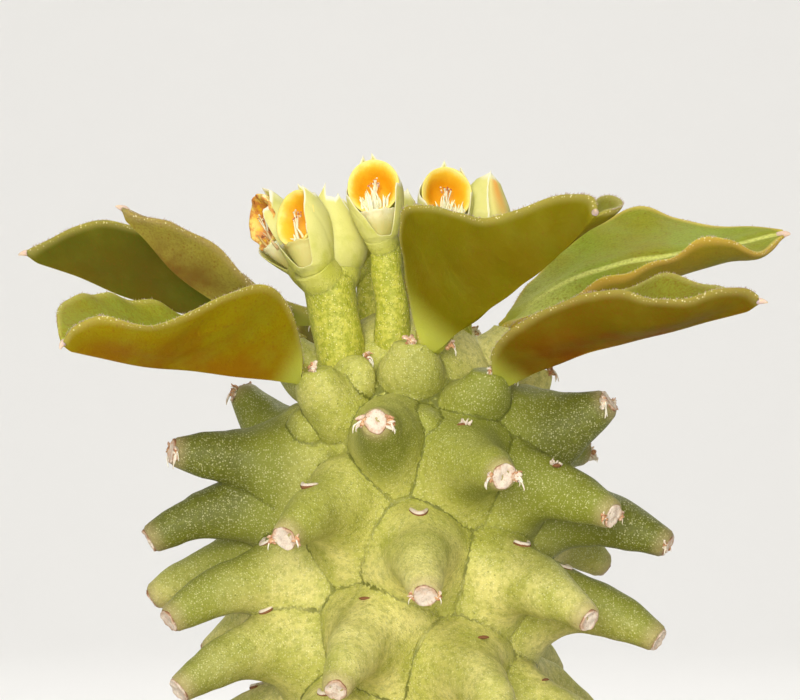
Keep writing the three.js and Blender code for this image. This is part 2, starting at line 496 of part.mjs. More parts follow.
// A point of the blade: its share along the leaf, and its share across, from -1 at the near margin to 1 at the far.
function bladePoint(curves, along, across) {
  const share = Math.abs(across);
  const midrib = curves.midrib.getPoint(along);
  const margin = (across < 0 ? curves.near : curves.far).getPoint(along);
  const ahead = curves.midrib.getTangent(along);
  const down = margin.clone().sub(midrib).cross(ahead).multiplyScalar(across < 0 ? -1 : 1).normalize();
  const sag = curves.sag[across < 0 ? 0 : 1] * Math.sin(Math.PI * share) * Math.sin(Math.PI * along);
  return midrib.lerp(margin, share).addScaledVector(down, sag);
}

// The upper and the lower face of a blade, row by row from a foot that is sunk into the tubercle.
function bladeFaces(leaf) {
  const curves = leafCurves(leaf);
  const upper = [];
  const lower = [];
  const nudge = 0.01;
  const back = curves.midrib.getTangent(0).multiplyScalar(-BLADE.sunk);
  for (let row = -1; row <= BLADE.along; row++) {
    const along = (Math.max(0, row) / BLADE.along) * 0.985;
    for (const across of BLADE.shares) {
      const at = bladePoint(curves, along, across);
      const ahead = bladePoint(curves, along + nudge, across).sub(at);
      const aside = bladePoint(curves, along, Math.min(1, across + 0.1))
        .sub(bladePoint(curves, along, Math.max(-1, across - 0.1)));
      const normal = aside.cross(ahead).normalize();
      const body = mix(BLADE.midribHalf, BLADE.marginHalf, Math.abs(across) ** 0.8);
      const half = mix(BLADE.footHalf, body, Math.min(1, along / BLADE.footShare));
      if (row < 0) at.add(back);
      upper.push(at.clone().addScaledVector(normal, half));
      lower.push(at.addScaledVector(normal, -half));
    }
  }
  return { upper, lower, curves };
}

// The room that a leaf's foot needs in the stem.
function footRoom(leaf) {
  const { upper, lower } = bladeFaces(leaf);
  const rows = 3 * BLADE.shares.length;
  const reach = 1.5 * CLEARANCE;
  const around = [[reach, 0, 0], [-reach, 0, 0], [0, reach, 0], [0, -reach, 0], [0, 0, reach], [0, 0, -reach]];
  const near = [...upper.slice(0, rows), ...lower.slice(0, rows)];
  return wasm.Manifold.hull(near.flatMap((p) => around.map(([x, y, z]) => [p.x + x, p.y + y, p.z + z])));
}

// A blade with the small point at its tip.
function leafSolid(leaf) {
  const { upper, lower, curves } = bladeFaces(leaf);
  const columns = BLADE.shares.length;
  const points = [...upper, ...lower];
  const under = upper.length;
  const rows = BLADE.along + 1;
  const triangles = [];
  const quad = (a, b, c, d) => triangles.push([a, b, c], [a, c, d]);
  for (let row = 0; row < rows; row++) {
    for (let column = 0; column + 1 < columns; column++) {
      const a = row * columns + column;
      quad(a, a + 1, a + columns + 1, a + columns);
      triangles.push([a + under, a + columns + 1 + under, a + 1 + under]);
      triangles.push([a + under, a + columns + under, a + columns + 1 + under]);
    }
    const left = row * columns;
    const right = left + columns - 1;
    quad(left, left + columns, left + columns + under, left + under);
    quad(right, right + under, right + columns + under, right + columns);
  }
  for (let column = 0; column + 1 < columns; column++) {
    const last = rows * columns + column;
    quad(column, column + under, column + 1 + under, column + 1);
    quad(last, last + 1, last + 1 + under, last + under);
  }
  const from = curves.midrib.getPoint(0.95);
  const tip = curves.midrib.getPoint(1);
  const end = tip.clone().addScaledVector(new THREE.Vector3(...leaf.point).normalize(), BLADE.pointLength);
  const ring = (at, size) => oval(at, sideways(20), UP, size, size, size, 5);
  const point = skin([ring(from, BLADE.pointRadius), ring(tip, BLADE.pointRadius)], from, end);
  return wholeBody(solidFrom(points, triangles).add(point));
}

// The three directions of a cup: to its side, to its front, and along its axis, which leans.
function cupAxes(cup) {
  const [leanAzimuth, lean] = cup.lean;
  const axis = UP.clone().multiplyScalar(Math.cos(lean * DEG)).addScaledVector(outward(leanAzimuth), Math.sin(lean * DEG));
  const front = outward(cup.face).addScaledVector(axis, -outward(cup.face).dot(axis)).normalize();
  const side = new THREE.Vector3().crossVectors(axis, front).normalize();
  return { axis, front, side };
}

// The height of a cup's rim at an angle from its front: low in front, an arch behind, with two small teeth.
function rimHeight(angle) {
  const rear = ((1 - Math.cos(angle)) / 2) ** CUP.rise;
  const fromRear = Math.abs(180 - ((angle / DEG + 360) % 360));
  const tooth = CUP.toothHeight * Math.exp(-(((fromRear - CUP.toothAzimuth) / CUP.toothWidth) ** 2));
  return CUP.frontHeight + (CUP.height - CUP.toothHeight - CUP.frontHeight) * rear + tooth;
}

// The radius of a cup at a height: a narrow neck, a full belly, and a top that draws in.
function cupRadius(height) {
  const share = height / CUP.height;
  const swelling = Math.sin(Math.PI * Math.min(1, share / CUP.belly) * 0.5) ** 0.9;
  const pinch = 1 - CUP.topPinch * Math.max(0, (share - CUP.belly) / (1 - CUP.belly)) ** 2;
  return mix(CUP.neck, CUP.radius, swelling) * pinch;
}

function bractCup(cup) {
  const { axis, front, side } = cupAxes(cup);
  const foot = new THREE.Vector3(...cup.foot);
  const ring = (share, inset) => Array.from({ length: CUP.sides }, (_, k) => {
    const angle = (2 * Math.PI * k) / CUP.sides;
    const height = Math.max(inset > 0 ? CUP.wall : 0, share * rimHeight(angle)) * cup.size;
    const radius = (cupRadius(height / cup.size) - inset) * cup.size;
    return foot.clone().addScaledVector(axis, height)
      .addScaledVector(front, radius * Math.cos(angle)).addScaledVector(side, radius * Math.sin(angle));
  });
  const shares = (count) => Array.from({ length: count }, (_, k) => k / (count - 1));
  const outer = shares(CUP.outerRings + 1).map((share) => ring(share, 0));
  const inner = shares(CUP.innerRings + 1).slice(1).reverse().map((share) => ring(0.12 + 0.88 * share, CUP.wall));
  const bottom = foot.clone();
  return skin([...outer, ...inner], bottom, foot.clone().addScaledVector(axis, (CUP.wall + 0.3) * cup.size));
}

// A bud: the same outline as a cup, closed at the top.
function bud(cup) {
  const { axis, front, side } = cupAxes(cup);
  const foot = new THREE.Vector3(...cup.foot);
  const rings = [0, 0.16, 0.36, 0.58, 0.78, 0.92].map((share) => {
    const radius = cupRadius(share * CUP.height) * cup.size * (1 - 0.75 * Math.max(0, share - 0.55) ** 1.2 * 2);
    const centre = foot.clone().addScaledVector(axis, share * CUP.height * cup.size);
    return oval(centre, front, side, radius, radius, radius, 12);
  });
  return skin(rings, foot, foot.clone().addScaledVector(axis, CUP.height * cup.size));
}

function clusterSolid(cluster) {
  const cups = cluster.cups.map((cup) => {
    const body = cup.name === "bud" ? bud(cup) : bractCup(cup);
    const { axis } = cupAxes(cup);
    const neck = new THREE.Vector3(...cup.foot).addScaledVector(axis, 0.35 * cup.size).toArray();
    return body.add(stalk(cluster.top, neck, [cluster.radius[1] * 0.75, CUP.neck * cup.size * 0.9], 8));
  });
  return wholeBody(wasm.Manifold.union([stalk(cluster.foot, cluster.top, cluster.radius), ...cups]));
}

// The yellow gland inside a cup: a deep hood that opens to the front, on a short tube, with stamens in it.
function cyathium(cup) {
  const { axis, front, side } = cupAxes(cup);
  const tilt = HOOD.tilt * DEG;
  const open = front.clone().multiplyScalar(Math.cos(tilt)).addScaledVector(axis, Math.sin(tilt));
  const high = axis.clone().multiplyScalar(Math.cos(tilt)).addScaledVector(front, -Math.sin(tilt));
  const foot = new THREE.Vector3(...cup.foot);
  const centre = foot.clone().addScaledVector(axis, HOOD.centre * cup.size).addScaledVector(front, HOOD.forward);
  const ring = (depth, inset) => {
    const bowl = Math.sqrt(Math.max(0, 1 - depth ** 2));
    const at = centre.clone().addScaledVector(open, (HOOD.rim - depth * (HOOD.depth - inset)) * cup.size);
    const width = (HOOD.width - inset) * bowl * cup.size;
    const height = (HOOD.height - inset) * bowl * cup.size;
    return oval(at, side, high, width, height, height, HOOD.sides);
  };
  const depths = Array.from({ length: HOOD.rings + 1 }, (_, k) => (k / (HOOD.rings + 1)) ** 0.8);
  const back = centre.clone().addScaledVector(open, (HOOD.rim - HOOD.depth) * cup.size);
  const inside = centre.clone().addScaledVector(open, (HOOD.rim - HOOD.depth + HOOD.wall) * cup.size);
  const shell = skin([...depths.toReversed().map((d) => ring(d, 0)), ...depths.map((d) => ring(d, HOOD.wall))],
    back, inside);
  const tubeFoot = foot.clone().addScaledVector(axis, HOOD.tubeFoot * cup.size).toArray();
  const tubeTop = centre.clone().addScaledVector(axis, -HOOD.height * 0.72 * cup.size).toArray();
  const stamenTop = inside.clone().addScaledVector(open, HOOD.stamenLength * cup.size)
    .addScaledVector(axis, -0.3 * cup.size).toArray();
  const size = (radius) => radius * cup.size;
  return wholeBody(wasm.Manifold.union([
    shell, stalk(tubeFoot, tubeTop, [size(HOOD.tubeRadius), size(HOOD.tubeRadius)], 8),
    stalk(back.clone().addScaledVector(open, 0.2).toArray(), stamenTop,
      [size(HOOD.stamenRadius * 0.6), size(HOOD.stamenRadius)], 7),
  ]));
}

const plant = new THREE.Group();
plant.add(meshOf("pot", pot(), FINISH.clay), meshOf("soil", soil(), FINISH.soil), meshOf("stem", stem(), FINISH.stem));
for (const leaf of LEAVES) plant.add(meshOf(leaf.name, leafSolid(leaf), FINISH.leaf));
for (const cluster of CLUSTERS) {
  plant.add(meshOf(`cluster_${cluster.name}`, clusterSolid(cluster), FINISH.bract));
  for (const cup of cluster.cups.filter(({ name }) => name !== "bud")) {
    plant.add(meshOf(`cyathium_${cluster.name}_${cup.name}`, cyathium(cup), FINISH.gland));
  }
}

export default plant;
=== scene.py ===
"""Dresses the potted succulent: a green column of drooping tubercles in gritty soil and a plain clay pot.

Sizes are in millimetres until a mesh is made. Azimuth 0 faces the camera, along -Y, and grows towards +X.
"""
import logging
import math
from dataclasses import dataclass, field
from enum import Enum

import bpy
import numpy as np
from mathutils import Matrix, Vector


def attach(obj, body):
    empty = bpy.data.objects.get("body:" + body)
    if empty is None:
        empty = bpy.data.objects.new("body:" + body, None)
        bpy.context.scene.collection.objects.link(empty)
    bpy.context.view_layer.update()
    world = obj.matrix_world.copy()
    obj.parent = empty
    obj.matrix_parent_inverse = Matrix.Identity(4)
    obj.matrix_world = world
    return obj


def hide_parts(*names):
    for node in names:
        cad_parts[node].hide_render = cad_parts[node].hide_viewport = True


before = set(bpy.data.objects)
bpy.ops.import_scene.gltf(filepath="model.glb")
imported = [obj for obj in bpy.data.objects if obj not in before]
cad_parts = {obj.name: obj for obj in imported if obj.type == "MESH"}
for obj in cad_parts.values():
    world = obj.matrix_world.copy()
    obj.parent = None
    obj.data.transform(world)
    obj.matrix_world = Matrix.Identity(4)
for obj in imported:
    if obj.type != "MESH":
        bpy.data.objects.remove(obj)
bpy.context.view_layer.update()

MM = 0.001
UP = np.array([0.0, 0.0, 1.0])
LOG = logging.getLogger("plant")
Point = tuple[float, float, float]
Pair = tuple[float, float]


def outward(azimuth: float) -> np.ndarray:
    """The level direction away from the stem at an azimuth."""
    turn = math.radians(azimuth)
    return np.array([math.sin(turn), -math.cos(turn), 0.0])


def sideways(azimuth: float) -> np.ndarray:
    """The level direction to the side of outward()."""
    turn = math.radians(azimuth)
    return np.array([math.cos(turn), math.sin(turn), 0.0])


def full_turn(count: int) -> np.ndarray:
    """Even angles once round, in radians."""
    return np.linspace(0, 2 * np.pi, count, endpoint=False)


def circle(count: int) -> np.ndarray:
    """Level directions once round the axis."""
    angles = full_turn(count)
    return np.stack([np.cos(angles), np.sin(angles), np.zeros_like(angles)], -1)


def level_rings(radii: np.ndarray, heights: np.ndarray, sides: int) -> np.ndarray:
    """Level rings of points about the axis, one for each radius and height."""
    return radii[:, None, None] * circle(sides) + heights[:, None, None] * UP


def bent(t: np.ndarray, start: np.ndarray, middle: np.ndarray, end: np.ndarray) -> np.ndarray:
    """Points of a curve of second degree by their shares t, pulled towards the middle point."""
    return (1 - t)**2 * start + 2 * t * (1 - t) * middle + t**2 * end


def unit(vectors: np.ndarray) -> np.ndarray:
    """Vectors scaled to length one."""
    return vectors / np.maximum(np.linalg.norm(vectors, axis=-1, keepdims=True), 1e-9)


def ripple(points: np.ndarray, wavelength: float, seed: int, waves: int = 7) -> np.ndarray:
    """Smooth noise in space, the mean of sine waves that run in random directions.

    Args:
        points: Places to work it out for, with three numbers in the last axis.
        wavelength: The middle wavelength, in the unit of the points.
        seed: Picks the directions, the lengths and the starts of the waves.
        waves: How many waves are added.

    Returns:
        One number for each point, mostly between -1 and 1.
    """
    random = np.random.default_rng(seed)
    ways = unit(random.normal(size=(waves, 3)))
    ways = ways * 2 * np.pi / (wavelength * random.uniform(0.7, 1.5, (waves, 1)))
    return np.sin(points @ ways.T + random.uniform(0, 2 * np.pi, waves)).sum(-1) / math.sqrt(waves)


def spline(knots: np.ndarray, shares: np.ndarray) -> np.ndarray:
    """Points of a smooth curve through even knots.

    Each stretch is a cubic whose slope at a knot is half the step between the knots beside it. Past the ends
    the curve runs on straight.

    Args:
        knots: Points that the curve runs through.
        shares: Places along it, from 0 at the first knot to 1 at the last.

    Returns:
        A point for each share.
    """
    knots = np.vstack([2 * knots[:1] - knots[1:2], knots, 2 * knots[-1:] - knots[-2:-1]])
    place = np.clip(shares, 0, 1) * (len(knots) - 3)
    start = np.minimum(place.astype(int), len(knots) - 4)
    t = (place - start)[..., None]
    before, here, there, after = (knots[start + step] for step in range(4))
    slope, next_slope = (there - before) / 2, (after - here) / 2
    return ((2 * t**3 - 3 * t**2 + 1) * here + (t**3 - 2 * t**2 + t) * slope
            + (3 * t**2 - 2 * t**3) * there + (t**3 - t**2) * next_slope)


@dataclass
class Surface:
    """A closed shape of points, four-sided and three-sided faces, and named numbers for each point."""

    points: np.ndarray
    quads: np.ndarray
    triangles: np.ndarray
    values: dict[str, np.ndarray] = field(default_factory=dict)

    def turned_out(self) -> "Surface":
        """The same shape with its faces outwards, which the sign of its volume tells."""
        corners = np.vstack([self.quads[:, [0, 1, 2]], self.quads[:, [0, 2, 3]], self.triangles])
        a, b, c = (self.points[corners[:, k]] - self.points.mean(0) for k in range(3))
        if np.einsum("ij,ij->", a, np.cross(b, c)) < 0:
            self.quads, self.triangles = self.quads[:, ::-1], self.triangles[:, ::-1]
        return self

    @staticmethod
    def joined(parts: list["Surface"]) -> "Surface":
        """Several shapes as one, side by side in one list of points."""
        offsets = np.cumsum([0] + [len(part.points) for part in parts[:-1]])
        names = parts[0].values
        return Surface(
            np.vstack([part.points for part in parts]),
            np.vstack([part.quads + offset for part, offset in zip(parts, offsets)]),
            np.vstack([part.triangles + offset for part, offset in zip(parts, offsets)]),
            {name: np.concatenate([part.values[name] for part in parts]) for name in names})


def bands(count: int, sides: int, closed: bool = False) -> np.ndarray:
    """Four-sided faces between rings of points, and from the last ring to the first if it is closed.

    Args:
        count: How many rings there are.
        sides: How many points each ring has.
        closed: Whether faces join the last ring to the first.

    Returns:
        Four point numbers for each face.
    """
    ring, side = np.meshgrid(np.arange(count if closed else count - 1), np.arange(sides), indexing="ij")
    low, high, after = ring * sides, (ring + 1) % count * sides, (side + 1) % sides
    return np.stack([low + side, low + after, high + after, high + side], -1).reshape(-1, 4)


def tube(rings: np.ndarray, values: dict[str, np.ndarray] | None = None,
         poles: np.ndarray | None = None) -> Surface:
    """A skin over rings of points, closed at each end by a fan round a middle point.

    Args:
        rings: Points by ring, by place round the ring, by coordinate.
        values: Numbers by ring and place.
        poles: The two end points, or None for the middles of the end rings.

    Returns:
        The closed shape, with each pole's value the mean of its ring's.
    """
    count, sides = rings.shape[:2]
    if poles is None:
        poles = np.stack([rings[0].mean(0), rings[-1].mean(0)])
    edge = np.arange(sides)
    ahead = (edge + 1) % sides
    last = (count - 1) * sides
    start, end = np.full(sides, count * sides), np.full(sides, count * sides + 1)
    fans = np.vstack([np.stack([start, ahead, edge], -1), np.stack([last + edge, last + ahead, end], -1)])
    flat = {name: np.concatenate([grid.reshape(-1), [grid[0].mean(), grid[-1].mean()]])
            for name, grid in (values or {}).items()}
    points = np.vstack([rings.reshape(-1, 3), poles])
    return Surface(points, bands(count, sides), fans, flat).turned_out()


def ball(centre: Point, radii: Point) -> Surface:
    """A closed egg about a middle point, with its half-sizes along X, Y and Z."""
    turn = np.linspace(0.03, np.pi - 0.03, 28)[:, None, None]
    return tube(np.array(centre) + np.array(radii) * (np.sin(turn) * circle(44) - np.cos(turn) * UP))


def slab(upper: np.ndarray, lower: np.ndarray, values: dict[str, tuple[np.ndarray, np.ndarray]]) -> Surface:
    """A closed sheet between two grids of points, joined along their four edges.

    Args:
        upper: Points of one face by row and column.
        lower: Points of the other face.
        values: Numbers for the upper and the lower face.

    Returns:
        The closed shape, with its faces outwards.
    """
    rows, columns = upper.shape[:2]
    row, column = np.meshgrid(np.arange(rows - 1), np.arange(columns - 1), indexing="ij")
    a = (row * columns + column).reshape(-1)
    top = np.stack([a, a + 1, a + columns + 1, a + columns], -1)
    under = rows * columns
    edge = np.concatenate([
        np.arange(columns - 1), np.arange(rows - 1) * columns + columns - 1,
        (rows - 1) * columns + np.arange(columns - 1, 0, -1), np.arange(rows - 1, 0, -1) * columns])
    ahead = np.roll(edge, -1)
    rim = np.stack([ahead, edge, edge + under, ahead + under], -1)
    flat = {name: np.concatenate([pair[0].reshape(-1), pair[1].reshape(-1)]) for name, pair in values.items()}
    points = np.vstack([upper.reshape(-1, 3), lower.reshape(-1, 3)])
    quads = np.vstack([top, top[:, ::-1] + under, rim])
    return Surface(points, quads, np.zeros((0, 3), int), flat).turned_out()


def strand(points: np.ndarray, widths: np.ndarray, sides: int = 6) -> Surface:
    """A thin round thread along a line, with its own width at each point.

    Rings are square to the line, and each is turned by one fixed direction, so that the skin doesn't twist.
    """
    along = unit(np.gradient(points, axis=0))
    fixed = np.array([0.31, 0.84, 0.44])
    side = unit(np.cross(along, fixed))
    other = np.cross(along, side)
    angles = full_turn(sides)
    around = np.cos(angles)[None, :, None] * side[:, None] + np.sin(angles)[None, :, None] * other[:, None]
    return tube(points[:, None] + widths[:, None, None] * around)


def curl(start: np.ndarray, way: np.ndarray, turn: np.ndarray, length: float, width: float) -> Surface:
    """A dry curled thread that leaves along one direction and bends round to another.

    Args:
        start: Where it grows from.
        way: The direction that it leaves in.
        turn: The direction that it bends round to.
        length: Its size along both.
        width: Its radius at its foot.
    """
    t = np.linspace(0, 1, 12)[:, None]
    line = start + length * (way * np.sin(t * 2.0) / 2.0 + turn * (1 - np.cos(t * 2.0)) / 2.0)
    return strand(line, width * (1 - 0.75 * t[:, 0]**1.5))


def flake(start: np.ndarray, way: np.ndarray, length: float, width: float,
          random: np.random.Generator) -> Surface:
    """A crumpled dry scale: a short flattened cone whose rings are knocked about at random.

    Args:
        start: Where it grows from.
        way: Its direction.
        length: Its length.
        width: Its half-width at its foot.
        random: Where the knocks come from.
    """
    t = np.linspace(0, 1, 5)[:, None]
    line = start + way * length * t + random.normal(size=(5, 3)) * 0.09 * length * t
    side = unit(np.cross(way, random.normal(size=3)))
    other = np.cross(way, side)
    angles = full_turn(7)
    around = np.cos(angles)[:, None] * side + 0.45 * np.sin(angles)[:, None] * other
    size = width * (1 - 0.7 * t**1.3)[:, :, None] * random.uniform(0.7, 1.3, (5, 7, 1))
    return tube(line[:, None] + size * around)


def bristles(feet: np.ndarray, ways: np.ndarray, lengths: np.ndarray, width: float) -> Surface:
    """Many short hairs, each a three-sided spike with a closed foot, worked out together.

    Args:
        feet: Where they grow from.
        ways: The direction of each, of any length.
        lengths: The length of each.
        width: The radius of their feet.

    Returns:
        All the hairs as one shape.
    """
    ways = unit(ways)
    side = unit(np.cross(ways, np.array([0.37, 0.61, 0.70])))
    other = np.cross(ways, side)
    turns = np.arange(3) * 2 * np.pi / 3
    base = feet[:, None] + width * (np.cos(turns)[None, :, None] * side[:, None]
                                    + np.sin(turns)[None, :, None] * other[:, None])
    points = np.concatenate([base, (feet + ways * lengths[:, None])[:, None]], 1).reshape(-1, 3)
    spike = np.array([[0, 1, 3], [1, 2, 3], [2, 0, 3], [2, 1, 0]])
    triangles = (np.arange(len(feet)) * 4)[:, None, None] + spike[None]
    return Surface(points, np.zeros((0, 4), int), triangles.reshape(-1, 3))


def tagged(surface: Surface, **values: float) -> Surface:
    """The surface with each value the same at all its points."""
    for name, number in values.items():
        surface.values[name] = np.full(len(surface.points), float(number))
    return surface


def placed(name: str, data: bpy.types.ID) -> bpy.types.Object:
    """A new object in the scene for a mesh, a light or a camera."""
    piece = bpy.data.objects.new(name, data)
    bpy.context.scene.collection.objects.link(piece)
    return piece


def put_values(mesh: bpy.types.Mesh, name: str, numbers: np.ndarray) -> None:
    """Stores one number for each point of a mesh."""
    mesh.attributes.new(name, "FLOAT", "POINT").data.foreach_set("value", numbers.astype(np.float32))


def mesh_of(name: str, surface: Surface) -> bpy.types.Object:
    """A smooth-shaded object at the origin whose mesh is the surface, in metres.

    Args:
        name: The piece's name.
        surface: Its shape in millimetres, whose values go with the mesh.
    """
    mesh = bpy.data.meshes.new(name)
    mesh.from_pydata((surface.points * MM).tolist(), [], surface.quads.tolist() + surface.triangles.tolist())
    for key, numbers in surface.values.items():
        put_values(mesh, key, numbers)
    mesh.shade_smooth()
    return placed(name, mesh)


def united(name: str, parts: list[Surface]) -> bpy.types.Object:
    """One skin round closed shapes that run into each other.

    Args:
        name: The piece's name.
        parts: The shapes, in millimetres.

    Returns:
        A smooth-shaded object in metres, at the origin.
    """
    solids = [mesh_of(f"{name}_{k}", part) for k, part in enumerate(parts)]
    others = bpy.data.collections.new(f"{name}_others")
    for solid in solids[1:]:
        others.objects.link(solid)
    joining = solids[0].modifiers.new("join", "BOOLEAN")
    joining.solver = "MANIFOLD"
    joining.operation = "UNION"
    joining.operand_type = "COLLECTION"
    joining.collection = others
    shaped = solids[0].evaluated_get(bpy.context.evaluated_depsgraph_get())
    mesh = bpy.data.meshes.new_from_object(shaped)
    mesh.name = name
    mesh.shade_smooth()
    for solid in solids:
        spare = solid.data
        bpy.data.objects.remove(solid)
        bpy.data.meshes.remove(spare)
    bpy.data.collections.remove(others)
    return placed(name, mesh)


def listed(items: bpy.types.bpy_prop_collection, key: str, width: int, kind: type = np.float32) -> np.ndarray:
    """What the items of a mesh hold under a name: a row for each, or plain numbers where the width is 1.

    Args:
        items: The mesh's points, edges, corners or faces.
        key: The name.
        width: How many numbers each item holds.
        kind: The type of the numbers.
    """
    numbers = np.empty(len(items) * width, kind)
    items.foreach_get(key, numbers)
    return numbers.reshape(-1, width) if width > 1 else numbers


def points_of(mesh: bpy.types.Mesh) -> np.ndarray:
    """A mesh's points in millimetres."""
    return listed(mesh.vertices, "co", 3).astype(float) / MM


def crease_points(mesh: bpy.types.Mesh, angle: float) -> np.ndarray:
    """Points along the edges where two faces meet in a hollow sharper than an angle, in millimetres.

    Normals that lean towards each other across an edge mark a hollow: the step between the faces' middles
    and the step between their normals then point against each other.

    Args:
        mesh: The mesh to search.
        angle: The least angle between two faces that counts, in degrees.

    Returns:
        Both ends of each such edge and two points between them.
    """
    edge_of = listed(mesh.loops, "edge_index", 1, np.int32)
    totals = listed(mesh.polygons, "loop_total", 1, np.int32)
    face_of = np.repeat(np.arange(len(totals)), totals)
    normals, middles = listed(mesh.polygons, "normal", 3), listed(mesh.polygons, "center", 3)
    order = np.argsort(edge_of, kind="stable")
    first, second = order[:-1], order[1:]
    pairs = edge_of[first] == edge_of[second]
    one, two = face_of[first[pairs]], face_of[second[pairs]]
    turned = np.einsum("ij,ij->i", normals[two] - normals[one], middles[two] - middles[one])
    sharp = np.einsum("ij,ij->i", normals[one], normals[two]) < math.cos(math.radians(angle))
    ends = listed(mesh.edges, "vertices", 2, np.int32)[edge_of[first[pairs]][sharp & (turned < 0)]]
    points = points_of(mesh)
    a, b = points[ends[:, 0]], points[ends[:, 1]]
    return np.vstack([a, b, (2 * a + b) / 3, (a + 2 * b) / 3])


def nearest(points: np.ndarray, targets: np.ndarray, reach: float) -> np.ndarray:
    """How far each point is from the nearest target, slab by slab in height.

    Args:
        points: The points to measure from.
        targets: The points to measure to.
        reach: The greatest distance of interest, given where no target is nearer.

    Returns:
        One distance for each point.
    """
    found = np.full(len(points), reach)
    order = np.argsort(points[:, 2])
    for part in np.array_split(order, max(1, len(order) // 1500)):
        here = points[part]
        close = targets[(targets[:, 2] > here[0, 2] - reach) & (targets[:, 2] < here[-1, 2] + reach)]
        if len(close):
            squared = (here**2).sum(1)[:, None] + (close**2).sum(1)[None] - 2 * here @ close.T
            found[part] = np.minimum(reach, np.sqrt(np.maximum(squared.min(1), 0)))
    return found


def softened(mesh: bpy.types.Mesh, points: np.ndarray, shares: np.ndarray, rounds: int) -> np.ndarray:
    """Moves a mesh's points towards the mean of their neighbours.

    Args:
        mesh: The mesh to change.
        points: Its points in millimetres.
        shares: How strongly each point is moved, from 0 to 1.
        rounds: How often.

    Returns:
        The moved points.
    """
    ends = listed(mesh.edges, "vertices", 2, np.int32)
    one, two = ends.T
    total = len(points)
    count = np.bincount(ends.reshape(-1), minlength=total)[:, None]
    for _ in range(rounds):
        sums = [np.bincount(one, points[two, k], total) + np.bincount(two, points[one, k], total)
                for k in range(3)]
        around = np.stack(sums, -1) / count
        points = points + 0.5 * shares[:, None] * (around - points)
    mesh.vertices.foreach_set("co", (points * MM).astype(np.float32).reshape(-1))
    mesh.update()
    return points


def finished(piece: bpy.types.Object, material: bpy.types.Material, slot: str, *nodes: str) -> None:
    """Gives a piece its material, and says what it rides on and what it replaces.

    Args:
        piece: The piece.
        material: Its finish.
        slot: The record's material slot; not used.
        nodes: The solids that it replaces.
    """
    piece.data.materials.clear()
    piece.data.materials.append(material)
    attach(piece, "root")
    if nodes:
        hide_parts(*nodes)
    LOG.info("%s: %d faces", piece.name, len(piece.data.polygons))


Colour = Point
Socket = bpy.types.NodeSocket
Number = float | Socket


